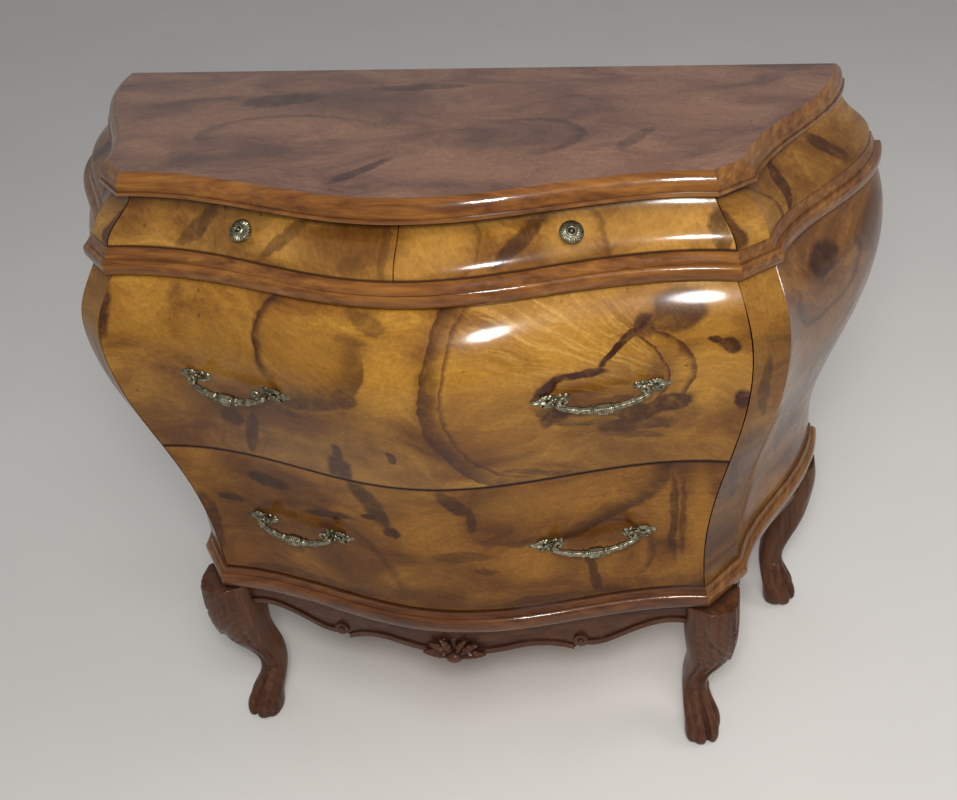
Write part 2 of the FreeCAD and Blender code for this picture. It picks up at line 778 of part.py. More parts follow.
def makeAprons(frontLeg, rearLeg):
    outline = baseOutline
    lowZ = legTopZ - 1.1 * apronDrop
    edge = frontApronEdge()
    left = [mirrored(piece) for piece in edge]
    topRight = Vector(frontApronHalf, 0, legTopZ)
    topLeft = Vector(-frontApronHalf, 0, legTopZ)
    sideRight = ends(edge[-1])[1]
    sideLeft = Vector(-sideRight.x, 0, sideRight.z)
    outlineEdges = edge + left + [line(sideRight, topRight), line(topRight, topLeft),
                                  line(topLeft, sideLeft)]
    shape = throughFront(Part.Wire(Part.sortEdges(outlineEdges)[0]))
    apron = apronStrip(outline, lowZ, 0.0, apronThickness).common(shape)
    raised = apronStrip(outline, lowZ, beadOut, apronThickness / 2)
    beads = [beadAbove(piece, raised) for piece in (edge[1], edge[3])]
    beads += [mirrored(bead) for bead in beads]
    scrollEnd = ends(edge[2])[1]
    scroll = volute(outline, scrollEnd.x, scrollEnd.z + 0.8 * voluteRadius)
    apron = apron.fuse(beads + [scroll, mirrored(scroll)])
    below = box(-frontApronHalf, frontApronHalf, -overallDepth, overallDepth, 0, legTopZ)
    apron = apron.fuse(apronShellCarving(outline).common(below))
    for leg in (frontLeg, mirrored(frontLeg)):
        apron = apron.cut(leg)
    apron = max(apron.Solids, key=lambda solid: solid.Volume)
    export("front_apron", apron)

    strip = Part.Face(sideWire(outline, lowZ)).extrude(Vector(0, 0, legTopZ - lowZ))
    startY = outline.cornerY + frontLegWidth * frontLegPath[-1][2]
    endY = outline.backY + rearLegWidth * rearLegPath[-1][2]
    lower = spline([Vector(0, startY + (endY - startY) * along, legTopZ - apronDrop * drop)
                    for along, drop in sideApronEdge])
    lowerFront, lowerBack = ends(lower)
    highFront = Vector(0, startY, legTopZ)
    highBack = Vector(0, endY, legTopZ)
    shape = Part.Face(Part.Wire([lower, line(lowerBack, highBack), line(highBack, highFront),
                                 line(highFront, lowerFront)]))
    side = strip.common(shape.extrude(Vector(2 * baseHalfBack, 0, 0)))
    side = side.cut(frontLeg).cut(rearLeg)
    side = max(side.Solids, key=lambda solid: solid.Volume)
    exportPair("side_apron", side)


def kneeLeaf(path, cornerX, cornerY, legWidth):
    """A leaf laid over the outer side of a knee, facing the way the cant does, with an eye in it."""
    swollen = loft([legSection(height * legTopZ, cornerX + out * legWidth, cornerY + back * legWidth,
                               width * legWidth + 2 * leafOut)
                    for height, out, back, width in path if height > 0.3])
    along = Vector(cantWidth, cantDepth, 0).normalize()
    outward = Vector(along.y, -along.x, 0)
    height, out, back, width = path[-1]
    centre = Vector(cornerX + out * legWidth, cornerY + back * legWidth, legTopZ)
    half = [centre + along * (leafHalfWidth * side) + Vector(0, 0, -leafDrop * drop)
            for side, drop in ((1.0, 0.0), (0.97, 0.38), (0.62, 0.7), (0.24, 0.88), (0.0, 1.0))]
    other = [centre * 2 + Vector(0, 0, 2 * (point.z - legTopZ)) - point for point in half]
    right, left = spline(half), spline(other)
    outline = Part.Face(Part.Wire([right, left, line(half[0], other[0])]))
    leaf = swollen.common(outline.extrude(outward * (2 * legWidth)))
    eye = centre + Vector(0, 0, -0.42 * leafDrop) + outward * (0.42 * legWidth)
    return leaf, Part.makeCylinder(leafEyeRadius, legWidth, eye, outward)


def makeLegsAndAprons():
    frontPlace = (frontLegPath, baseOutline.cornerX, baseOutline.cornerY, frontLegWidth)
    leaf, eye = kneeLeaf(*frontPlace)
    frontLeg = makeLeg(*frontPlace).fuse(leaf).cut(eye)
    rearLeg = makeLeg(rearLegPath, baseOutline.halfBack, baseOutline.backY, rearLegWidth)
    exportPair("leg_front", frontLeg)
    exportPair("leg_rear", rearLeg)
    makeAprons(frontLeg, rearLeg)


makeTop()
makeWaist()
makeBase()
makeCase()
makeDrawers()
makeLegsAndAprons()
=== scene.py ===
import math
from fnmatch import fnmatchcase
import bmesh
import bpy
from mathutils import Matrix, Vector
from mathutils.bvhtree import BVHTree


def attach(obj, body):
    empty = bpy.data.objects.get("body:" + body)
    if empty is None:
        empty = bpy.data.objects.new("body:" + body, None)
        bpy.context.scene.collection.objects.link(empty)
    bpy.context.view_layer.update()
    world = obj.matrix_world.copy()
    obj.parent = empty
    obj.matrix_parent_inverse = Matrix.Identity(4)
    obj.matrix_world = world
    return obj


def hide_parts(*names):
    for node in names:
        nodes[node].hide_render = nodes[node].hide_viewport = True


print("loading the packed chest")
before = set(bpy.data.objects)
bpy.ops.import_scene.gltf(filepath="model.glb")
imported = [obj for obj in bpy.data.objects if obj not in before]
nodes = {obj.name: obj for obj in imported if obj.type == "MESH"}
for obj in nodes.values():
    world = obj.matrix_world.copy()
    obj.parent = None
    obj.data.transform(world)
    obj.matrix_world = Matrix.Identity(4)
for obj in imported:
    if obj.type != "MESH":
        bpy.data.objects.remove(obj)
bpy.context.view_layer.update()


def addNode(tree, kind, **settings):
    node = tree.nodes.new(kind)
    for name, value in settings.items():
        setattr(node, name, value)
    return node


def wire(tree, source, target):
    tree.links.new(source, target)


def feed(tree, value, socket):
    # a number, a colour or another node's output goes into the socket
    if hasattr(value, "is_output"):
        wire(tree, value, socket)
    elif isinstance(value, tuple) and len(socket.default_value) == 4:
        socket.default_value = (*value, 1.0)
    else:
        socket.default_value = value


def mathNode(tree, operation, first, second=None):
    node = addNode(tree, "ShaderNodeMath", operation=operation)
    feed(tree, first, node.inputs[0])
    if second is not None:
        feed(tree, second, node.inputs[1])
    return node.outputs[0]


def vectorNode(tree, operation, first, second=None, output=0):
    node = addNode(tree, "ShaderNodeVectorMath", operation=operation)
    feed(tree, first, node.inputs[0])
    if second is not None:
        feed(tree, second, node.inputs[1])
    return node.outputs[output]


def mixColour(tree, factor, first, second, blend="MIX"):
    node = addNode(tree, "ShaderNodeMix", data_type="RGBA", blend_type=blend)
    for socket, value in zip((node.inputs[0], node.inputs[6], node.inputs[7]), (factor, first, second)):
        feed(tree, value, socket)
    return node.outputs[2]


def mapRange(tree, value, low, high, toLow=0.0, toHigh=1.0, kind="SMOOTHSTEP"):
    node = addNode(tree, "ShaderNodeMapRange", interpolation_type=kind)
    for socket, number in zip(node.inputs, (value, low, high, toLow, toHigh)):
        feed(tree, number, socket)
    return node.outputs[0]


def mapping(tree, vector, location=(0, 0, 0), rotation=(0, 0, 0), scale=(1, 1, 1), kind="POINT"):
    node = addNode(tree, "ShaderNodeMapping", vector_type=kind)
    for socket, value in zip(node.inputs, (vector, location, rotation, scale)):
        feed(tree, value, socket)
    return node.outputs[0]


def noise(tree, vector, scale, detail=4.0, roughness=0.5, distortion=0.0):
    node = addNode(tree, "ShaderNodeTexNoise")
    wire(tree, vector, node.inputs["Vector"])
    for name, value in (("Scale", scale), ("Detail", detail), ("Roughness", roughness),
                        ("Distortion", distortion)):
        feed(tree, value, node.inputs[name])
    return node


def addBump(tree, shader, height, strength, distance):
    bump = addNode(tree, "ShaderNodeBump")
    bump.inputs["Strength"].default_value = strength
    bump.inputs["Distance"].default_value = distance
    wire(tree, height, bump.inputs["Height"])
    wire(tree, bump.outputs[0], shader.inputs["Normal"])


def ramp(tree, factor, stops):
    node = addNode(tree, "ShaderNodeValToRGB")
    elements = node.color_ramp.elements
    while len(elements) < len(stops):
        elements.new(0.5)
    for element, (place, colour) in zip(elements, stops):
        element.position = place
        element.color = (*colour, 1.0)
    wire(tree, factor, node.inputs[0])
    return node.outputs[0]


def newGroup(name, inputs, outputs):
    tree = bpy.data.node_groups.new(name, "ShaderNodeTree")
    for label, kind, value in inputs:
        socket = tree.interface.new_socket(label, in_out="INPUT", socket_type=kind)
        if value is not None:
            socket.default_value = value
    for label, kind in outputs:
        tree.interface.new_socket(label, in_out="OUTPUT", socket_type=kind)
    return tree, tree.nodes.new("NodeGroupInput").outputs, tree.nodes.new("NodeGroupOutput").inputs


def useGroup(tree, group, **values):
    node = addNode(tree, "ShaderNodeGroup", node_tree=group)
    for name, value in values.items():
        feed(tree, value, node.inputs[name])
    return node


def newMaterial(name, **plain):
    material = bpy.data.materials.new(name)
    material.use_nodes = True
    tree = material.node_tree
    shader = tree.nodes["Principled BSDF"]
    for label, value in plain.items():
        shader.inputs[label.replace("_", " ")].default_value = value
    place = addNode(tree, "ShaderNodeTexCoord").outputs["Object"]
    return material, tree, shader, place


def addObject(name, data):
    made = bpy.data.objects.new(name, data)
    bpy.context.scene.collection.objects.link(made)
    return made


def shapeObject(name, shape):
    mesh = bpy.data.meshes.new(name)
    shape.to_mesh(mesh)
    shape.free()
    return addObject(name, mesh)


print("building the wood effects")


def makeFibreGroup():
    # long fibres along local X, with open pores between them
    tree, inside, outside = newGroup(
        "woodFibre",
        [("Vector", "NodeSocketVector", None), ("Stretch", "NodeSocketFloat", 12.0),
         ("Fineness", "NodeSocketFloat", 220.0)],
        [("Fibre", "NodeSocketFloat"), ("Pores", "NodeSocketFloat")])
    squeeze = addNode(tree, "ShaderNodeCombineXYZ")
    wire(tree, mathNode(tree, "DIVIDE", 1.0, inside["Stretch"]), squeeze.inputs[0])
    squeeze.inputs[1].default_value = 1.0
    squeeze.inputs[2].default_value = 1.0
    stretched = vectorNode(tree, "MULTIPLY", inside["Vector"], squeeze.outputs[0])
    fibre = noise(tree, stretched, inside["Fineness"], 5.0, 0.6, 0.3)
    wire(tree, fibre.outputs[0], outside["Fibre"])
    pores = noise(tree, stretched, mathNode(tree, "MULTIPLY", inside["Fineness"], 3.1), 2.0, 0.5)
    wire(tree, mapRange(tree, pores.outputs[0], 0.6, 0.72), outside["Pores"])
    return tree


def makeRingGroup():
    # a growth ring cut across: dark at its outline, fading inwards, strongest where it faces
    tree, inside, outside = newGroup(
        "growthRing",
        [("Vector", "NodeSocketVector", None), ("Inner", "NodeSocketFloat", 0.75),
         ("Edge", "NodeSocketFloat", 0.03), ("Facing", "NodeSocketVector", (1.0, 0.0, 0.0)),
         ("Spread", "NodeSocketFloat", 0.0)],
        [("Mask", "NodeSocketFloat")])
    radius = vectorNode(tree, "LENGTH", inside["Vector"], output="Value")
    rise = mapRange(tree, radius, inside["Inner"], 1.0)
    fall = mapRange(tree, radius, 1.0, mathNode(tree, "ADD", 1.0, inside["Edge"]), 1.0, 0.0)
    heading = vectorNode(tree, "NORMALIZE", inside["Vector"])
    turn = vectorNode(tree, "DOT_PRODUCT", heading, inside["Facing"], "Value")
    side = mapRange(tree, turn, mathNode(tree, "SUBTRACT", inside["Spread"], 0.35),
                    mathNode(tree, "ADD", inside["Spread"], 0.35))
    band = mathNode(tree, "MULTIPLY", rise, fall)
    wire(tree, mathNode(tree, "MULTIPLY", band, side), outside["Mask"])
    return tree


def makeVarnishGroup():
    # slight unevenness of a thick brushed varnish
    tree, inside, outside = newGroup(
        "varnishSkin", [("Vector", "NodeSocketVector", None)],
        [("Height", "NodeSocketFloat"), ("Wear", "NodeSocketFloat")])
    wave = noise(tree, inside["Vector"], 9.0, 2.0, 0.5)
    orange = noise(tree, inside["Vector"], 420.0, 1.0, 0.5)
    wire(tree, mathNode(tree, "ADD", wave.outputs[0], mathNode(tree, "MULTIPLY", orange.outputs[0], 0.04)),
         outside["Height"])
    wire(tree, noise(tree, inside["Vector"], 24.0, 5.0, 0.6).outputs[0], outside["Wear"])
    return tree


def makeHollowShadeGroup():
    # painted shade: darkens the hollows that ambient occlusion finds
    tree, inside, outside = newGroup(
        "paintedHollowShade", [("Reach", "NodeSocketFloat", 0.01), ("Amount", "NodeSocketFloat", 0.7)],
        [("Mask", "NodeSocketFloat")])
    hollow = addNode(tree, "ShaderNodeAmbientOcclusion", samples=6)
    wire(tree, inside["Reach"], hollow.inputs["Distance"])
    wire(tree, mapRange(tree, hollow.outputs["AO"], 0.35, 0.95, inside["Amount"], 0.0), outside["Mask"])
    return tree


fibreGroup = makeFibreGroup()
ringGroup = makeRingGroup()
varnishGroup = makeVarnishGroup()
hollowShadeGroup = makeHollowShadeGroup()
waveHeight = 0.0006


def finishVarnish(tree, shader, place, relief, strength, rough):
    skin = useGroup(tree, varnishGroup, Vector=place)
    wire(tree, mapRange(tree, skin.outputs["Wear"], 0.3, 0.7, rough[0], rough[1], "LINEAR"),
         shader.inputs["Roughness"])
    height = mathNode(tree, "ADD", mathNode(tree, "MULTIPLY", skin.outputs["Height"], waveHeight), relief)
    addBump(tree, shader, height, strength, 1.0)


def flatPlane(first, second):
    # lays a pattern flat over two of the chest's own axes
    def lay(tree, place):
        split = addNode(tree, "ShaderNodeSeparateXYZ")
        wire(tree, place, split.inputs[0])
        join = addNode(tree, "ShaderNodeCombineXYZ")
        wire(tree, split.outputs[first], join.inputs[0])
        wire(tree, split.outputs[second], join.inputs[1])
        return join.outputs[0]
    return lay


frontPlane = flatPlane(0, 2)
sidePlane = flatPlane(1, 2)
topPlane = flatPlane(0, 1)


def spot(at, size, depth, turn=0.0):
    # a soft patch: metres along and up the surface, half lengths, strength, radians
    return {"at": at, "size": size, "depth": depth, "turn": turn}


def ring(at, size, inner, edge, depth, facing, spread):
    # a growth ring: where the dark starts and how far it runs past the outline, and the side it shows on
    return {"at": at, "size": size, "inner": inner, "edge": edge, "depth": depth, "facing": facing,
            "spread": spread}


def tints(light, mid, deep, dark):
    # from the lightest wood to the figure itself
    return {"light": light, "mid": mid, "deep": deep, "dark": dark}


# each veneer: glow and shade are soft areas, marks are dark streaks and knots, edges are rims darkened by
# painted seam shade.
honey = tints((0.355, 0.168, 0.022), (0.215, 0.086, 0.011), (0.1, 0.033, 0.006), (0.04, 0.011, 0.005))
amber = tints((0.39, 0.192, 0.036), (0.19, 0.076, 0.012), (0.1, 0.036, 0.008), (0.036, 0.012, 0.005))
brown = tints((0.265, 0.112, 0.016), (0.158, 0.058, 0.009), (0.08, 0.027, 0.006), (0.028, 0.009, 0.004))

upperVeneer = {
    "tint": honey, "grain": 0.25, "edges": (0.4907, 0.7334),
    "fan": {"centre": (0.42, 0.56), "area": spot((0.175, 0.69), (0.12, 0.055), 0.75, -0.35),
            "colour": (0.46, 0.25, 0.058), "spokes": 34.0, "reach": 9.0},
    "glow": [
        spot((-0.325, 0.68), (0.05, 0.065), 0.35), spot((-0.245, 0.668), (0.06, 0.045), 0.6),
        spot((-0.1, 0.69), (0.055, 0.036), 0.55), spot((-0.018, 0.668), (0.045, 0.065), 0.8),
        spot((0.115, 0.64), (0.055, 0.085), 0.5), spot((0.19, 0.69), (0.095, 0.045), 0.9, -0.4),
        spot((0.262, 0.65), (0.032, 0.04), 0.5), spot((0.345, 0.64), (0.04, 0.085), 0.35),
        spot((0.15, 0.548), (0.07, 0.026), 0.3)],
    "shade": [
        spot((-0.23, 0.56), (0.15, 0.08), 0.85), spot((-0.11, 0.57), (0.13, 0.06), 0.7),
        spot((-0.34, 0.54), (0.07, 0.08), 0.7), spot((0.0, 0.505), (0.06, 0.03), 0.6),
        spot((0.225, 0.545), (0.09, 0.03), 0.6), spot((-0.285, 0.712), (0.012, 0.016), 0.7),
        spot((0.24, 0.512), (0.15, 0.034), 0.6), spot((0.37, 0.56), (0.03, 0.06), 0.5),
        spot((0.3, 0.568), (0.055, 0.028), 0.75), spot((0.03, 0.64), (0.016, 0.085), 0.75),
        spot((0.06, 0.545), (0.045, 0.03), 0.6), spot((0.285, 0.628), (0.022, 0.05), 0.6)],
    "rings": [
        ring((-0.112, 0.681), (0.067, 0.061), 0.76, 0.012, 1.0, (-0.85, 0.45), 0.35),
        ring((-0.112, 0.679), (0.068, 0.062), 0.7, 0.08, 0.55, (-1.0, -0.35), 0.3),
        ring((-0.112, 0.679), (0.07, 0.058), 0.48, 0.05, 0.75, (0.5, -0.86), 0.35),
        ring((0.124, 0.625), (0.104, 0.15), 0.76, 0.02, 0.8, (-1.0, -0.25), 0.05),
        ring((0.124, 0.625), (0.104, 0.15), 0.93, 0.015, 0.9, (-1.0, -0.15), 0.1),
        ring((0.128, 0.625), (0.085, 0.128), 0.92, 0.03, 0.7, (-1.0, -0.3), 0.2),
        ring((0.248, 0.634), (0.047, 0.053), 0.9, 0.03, 0.9, (0.9, 0.1), 0.0),
        ring((0.255, 0.635), (0.07, 0.061), 0.84, 0.03, 0.9, (0.85, -0.3), -0.15),
        ring((0.222, 0.612), (0.08, 0.044), 0.72, 0.06, 0.7, (-0.2, -1.0), 0.2)],
    "marks": [
        spot((0.247, 0.68), (0.052, 0.0055), 1.0, 0.72), spot((0.192, 0.646), (0.036, 0.0055), 1.0, 0.08),
        spot((0.158, 0.634), (0.022, 0.008), 1.0, 0.75), spot((0.163, 0.592), (0.02, 0.014), 0.95),
        spot((0.258, 0.577), (0.026, 0.018), 0.9), spot((0.292, 0.588), (0.04, 0.014), 0.95, 0.35),
        spot((0.235, 0.56), (0.026, 0.015), 0.85), spot((0.275, 0.56), (0.03, 0.008), 0.7, 0.1),
        spot((0.228, 0.6), (0.032, 0.013), 0.65), spot((0.306, 0.708), (0.032, 0.026), 0.85),
        spot((0.27, 0.695), (0.016, 0.015), 0.9), spot((0.252, 0.545), (0.036, 0.007), 0.6, -0.1),
        spot((0.361, 0.666), (0.0125, 0.0115), 1.0), spot((0.348, 0.672), (0.013, 0.0045), 1.0, -0.3),
        spot((0.38, 0.594), (0.011, 0.016), 1.0), spot((-0.386, 0.695), (0.014, 0.04), 0.95),
        spot((-0.22, 0.54), (0.011, 0.044), 0.85, -0.3), spot((-0.243, 0.556), (0.018, 0.013), 0.75),
        spot((-0.103, 0.513), (0.021, 0.026), 0.95), spot((-0.101, 0.536), (0.008, 0.024), 0.9),
        spot((-0.04, 0.723), (0.03, 0.009), 0.5, -0.3), spot((-0.055, 0.706), (0.02, 0.006), 0.35),
        spot((-0.115, 0.618), (0.046, 0.012), 0.8, 0.16), spot((-0.068, 0.635), (0.018, 0.016), 0.75, 0.5),
        spot((-0.165, 0.6), (0.03, 0.008), 0.55, -0.2), spot((-0.03, 0.545), (0.005, 0.012), 0.9),
        spot((-0.205, 0.6), (0.04, 0.007), 0.4, 0.2), spot((0.14, 0.505), (0.05, 0.006), 0.6, -0.25)],
}

lowerVeneer = {
    "tint": brown, "grain": 0.12, "coat": 0.22, "edges": (0.4893, 0.2745),
    "glow": [
        spot((0.322, 0.395), (0.02, 0.095), 1.0), spot((0.12, 0.45), (0.075, 0.04), 0.75),
        spot((0.115, 0.342), (0.065, 0.03), 0.6), spot((-0.31, 0.44), (0.03, 0.05), 0.3),
        spot((0.01, 0.38), (0.06, 0.03), 0.5), spot((0.275, 0.43), (0.022, 0.06), 0.6),
        spot((0.305, 0.31), (0.03, 0.03), 0.5), spot((-0.01, 0.42), (0.025, 0.06), 0.4)],
    "shade": [
        spot((-0.15, 0.36), (0.13, 0.06), 0.6), spot((-0.265, 0.38), (0.08, 0.09), 0.7),
        spot((0.02, 0.33), (0.085, 0.05), 0.6), spot((-0.22, 0.45), (0.08, 0.04), 0.7),
        spot((0.2, 0.4), (0.06, 0.025), 0.6), spot((-0.05, 0.285), (0.3, 0.035), 0.8),
        spot((0.25, 0.282), (0.1, 0.02), 0.6)],
    "rings": [
        ring((0.12, 0.5), (0.165, 0.115), 0.84, 0.06, 0.75, (0.75, -0.65), 0.3),
        ring((0.19, 0.345), (0.075, 0.06), 0.88, 0.06, 0.6, (0.8, 0.5), 0.2),
        ring((-0.18, 0.3), (0.12, 0.12), 0.9, 0.08, 0.45, (0.3, 1.0), 0.3)],
    "marks": [
        spot((-0.222, 0.449), (0.036, 0.013), 0.85, -0.1), spot((-0.29, 0.407), (0.022, 0.008), 0.8),
        spot((-0.145, 0.412), (0.04, 0.007), 0.8, 0.18), spot((-0.078, 0.452), (0.017, 0.05), 0.8, 0.35),
        spot((-0.06, 0.407), (0.013, 0.011), 0.95), spot((-0.085, 0.428), (0.012, 0.006), 0.9),
        spot((0.03, 0.458), (0.012, 0.028), 0.8, 0.5), spot((0.047, 0.428), (0.007, 0.024), 0.75),
        spot((0.19, 0.316), (0.007, 0.045), 0.75, 0.2), spot((0.288, 0.4), (0.006, 0.085), 0.7),
        spot((0.3, 0.395), (0.004, 0.08), 0.5), spot((-0.33, 0.362), (0.014, 0.055), 0.7),
        spot((0.025, 0.372), (0.045, 0.01), 0.5), spot((0.06, 0.345), (0.014, 0.006), 0.6),
        spot((0.14, 0.285), (0.1, 0.008), 0.5), spot((-0.2, 0.285), (0.12, 0.008), 0.5)],
}

friezeVeneer = {
    "tint": amber, "grain": 0.9, "edges": (0.7665, 0.8245),
    "glow": [
        spot((-0.31, 0.795), (0.03, 0.024), 0.35), spot((0.048, 0.795), (0.045, 0.028), 0.8),
        spot((0.185, 0.795), (0.036, 0.03), 0.8), spot((0.285, 0.795), (0.05, 0.03), 0.7),
        spot((-0.135, 0.785), (0.03, 0.016), 0.4)],
    "shade": [
        spot((-0.06, 0.795), (0.07, 0.035), 0.85), spot((-0.225, 0.795), (0.07, 0.034), 0.75),
        spot((-0.34, 0.8), (0.035, 0.034), 0.6), spot((-0.02, 0.795), (0.02, 0.03), 0.6)],
    "rings": [
        ring((0.04, 0.79), (0.05, 0.034), 0.9, 0.06, 0.4, (1.0, 0.2), 0.4),
        ring((0.17, 0.77), (0.058, 0.06), 0.88, 0.06, 0.5, (1.0, 0.2), 0.5)],
    "marks": [
        spot((0.13, 0.792), (0.034, 0.009), 0.8, 0.72), spot((-0.138, 0.79), (0.04, 0.007), 0.65, 0.6),
        spot((-0.252, 0.792), (0.036, 0.01), 0.65, 0.72), spot((0.352, 0.785), (0.01, 0.026), 0.8, 0.3),
        spot((-0.01, 0.79), (0.006, 0.03), 0.4)],
}

stileVeneer = {
    "tint": tints((0.27, 0.125, 0.022), (0.155, 0.058, 0.01), (0.062, 0.022, 0.006), (0.026, 0.01, 0.005)),
    "grain": 1.4, "coat": 0.2,
    "glow": [spot((-0.37, 0.69), (0.08, 0.06), 0.5), spot((0.37, 0.69), (0.08, 0.06), 0.5)],
    "shade": [spot((-0.35, 0.4), (0.12, 0.16), 0.8), spot((0.35, 0.4), (0.12, 0.16), 0.8)],
    "rings": [],
    "marks": [
        spot((0.405, 0.6), (0.008, 0.05), 0.6), spot((0.365, 0.45), (0.006, 0.05), 0.5),
        spot((-0.405, 0.61), (0.008, 0.05), 0.6)],
}

cornerVeneer = {
    "tint": amber, "grain": 1.1, "coat": 0.3,
    "glow": [spot((-0.185, 0.795), (0.05, 0.04), 0.8)],
    "shade": [spot((0.06, 0.795), (0.16, 0.05), 0.9)],
    "rings": [ring((-0.08, 0.78), (0.05, 0.04), 0.8, 0.05, 0.7, (1.0, 0.4), 0.1)],
    "marks": [
        spot((-0.105, 0.79), (0.01, 0.034), 0.85, -0.5), spot((0.0, 0.79), (0.008, 0.036), 0.9, -0.6),
        spot((0.09, 0.795), (0.012, 0.026), 0.8, 0.5)],
}

sideVeneer = {
    "tint": tints((0.25, 0.112, 0.028), (0.14, 0.055, 0.016), (0.072, 0.028, 0.01), (0.026, 0.011, 0.007)),
    "grain": 1.25,
    "glow": [spot((0.0, 0.56), (0.07, 0.09), 0.4)],
    "shade": [spot((0.12, 0.36), (0.09, 0.08), 0.5)],
    "rings": [
        ring((0.0, 0.665), (0.075, 0.055), 0.75, 0.06, 0.7, (0.0, -1.0), -0.3),
        ring((0.11, 0.48), (0.08, 0.11), 0.85, 0.06, 0.6, (-1.0, 0.2), 0.0)],
    "marks": [
        spot((-0.005, 0.69), (0.032, 0.022), 0.9), spot((0.03, 0.4), (0.01, 0.05), 0.6, 0.3),
        spot((-0.06, 0.5), (0.008, 0.04), 0.6, -0.3)],
}

topVeneer = {
    "tint": tints((0.225, 0.114, 0.068), (0.155, 0.076, 0.049), (0.095, 0.048, 0.035), (0.036, 0.02, 0.017)),
    "grain": 0.15,
    "glow": [
        spot((-0.25, 0.06), (0.12, 0.07), 0.5), spot((0.1, -0.08), (0.16, 0.04), 0.7),
        spot((0.3, 0.08), (0.1, 0.08), 0.5)],
    "shade": [spot((-0.15, 0.12), (0.16, 0.05), 0.8), spot((0.14, 0.02), (0.12, 0.05), 0.6)],
    "rings": [
        ring((0.11, 0.01), (0.08, 0.055), 0.75, 0.08, 0.6, (0.9, 0.3), 0.0),
        ring((-0.18, 0.02), (0.11, 0.06), 0.8, 0.08, 0.45, (-0.6, 0.8), 0.1)],
    "marks": [
        spot((-0.055, -0.085), (0.045, 0.01), 0.8, 0.85), spot((-0.23, 0.13), (0.06, 0.022), 0.7, 0.2),
        spot((0.25, 0.0), (0.04, 0.01), 0.5, 1.1), spot((-0.05, 0.17), (0.07, 0.012), 0.6, 0.1)],
}

veneerLook = {"coat": 0.4, "coatRough": 0.11, "specular": 0.12, "drift": (8.0, 0.03, 3.0),
              "tear": (70.0, 0.01, 5.0), "cloudScale": 7.0, "patchScale": 26.0, "lineCount": 95.0,
              "fleckScale": 38.0, "cutScale": 52.0, "stretch": 8.0, "fineness": 300.0, "pinScale": 46.0,
              "pinArea": 17.0, "burrScale": 210.0, "rim": (0.0008, 0.0032), "poreDepth": -0.00002,
              "bump": 0.12, "rough": (0.22, 0.36), "softEdge": (0.3, 1.25), "sharpEdge": (0.7, 1.12)}


def spotMask(tree, flat, area, core, rim):
    along = mapping(tree, flat, location=(*area["at"], 0), rotation=(0, 0, area["turn"]),
                    scale=(*area["size"], 1.0), kind="TEXTURE")
    length = vectorNode(tree, "LENGTH", along, output="Value")
    return mapRange(tree, length, core, rim, area["depth"], 0.0)


def ringMask(tree, flat, growth):
    along = mapping(tree, flat, location=(*growth["at"], 0), scale=(*growth["size"], 1.0), kind="TEXTURE")
    band = useGroup(tree, ringGroup, Vector=along, Inner=growth["inner"], Edge=growth["edge"],
                    Facing=(*growth["facing"], 0.0), Spread=growth["spread"])
    return mathNode(tree, "MULTIPLY", band.outputs[0], growth["depth"])


def fanMask(tree, flat, fan):
    # bright rays that spread from a crotch in the trunk
    spokes = addNode(tree, "ShaderNodeSeparateXYZ")
    wire(tree, vectorNode(tree, "SUBTRACT", flat, (*fan["centre"], 0.0)), spokes.inputs[0])
    turn = mathNode(tree, "ARCTAN2", spokes.outputs[1], spokes.outputs[0])
    polar = addNode(tree, "ShaderNodeCombineXYZ")
    wire(tree, mathNode(tree, "MULTIPLY", turn, fan["spokes"]), polar.inputs[0])
    wire(tree, mathNode(tree, "MULTIPLY", spokes.outputs[0], fan["reach"]), polar.inputs[1])
    rays = mapRange(tree, noise(tree, polar.outputs[0], 1.6, 4.0, 0.65).outputs[0], 0.46, 0.66)
    return mathNode(tree, "MULTIPLY", rays, spotMask(tree, flat, fan["area"], 0.5, 1.25))


def joinMasks(tree, masks):
    whole = masks[0]
    for mask in masks[1:]:
        whole = mathNode(tree, "MAXIMUM", whole, mask)
    return whole


def warp(tree, flat, scale, amount, detail):
    # pushes the pattern about by up to half the amount each way
    drift = noise(tree, flat, scale, detail, 0.6).outputs[1]
    centred = vectorNode(tree, "SUBTRACT", drift, (0.5, 0.5, 0.5))
    push = vectorNode(tree, "MULTIPLY", centred, (amount, amount, 0.0))
    return vectorNode(tree, "ADD", flat, push)


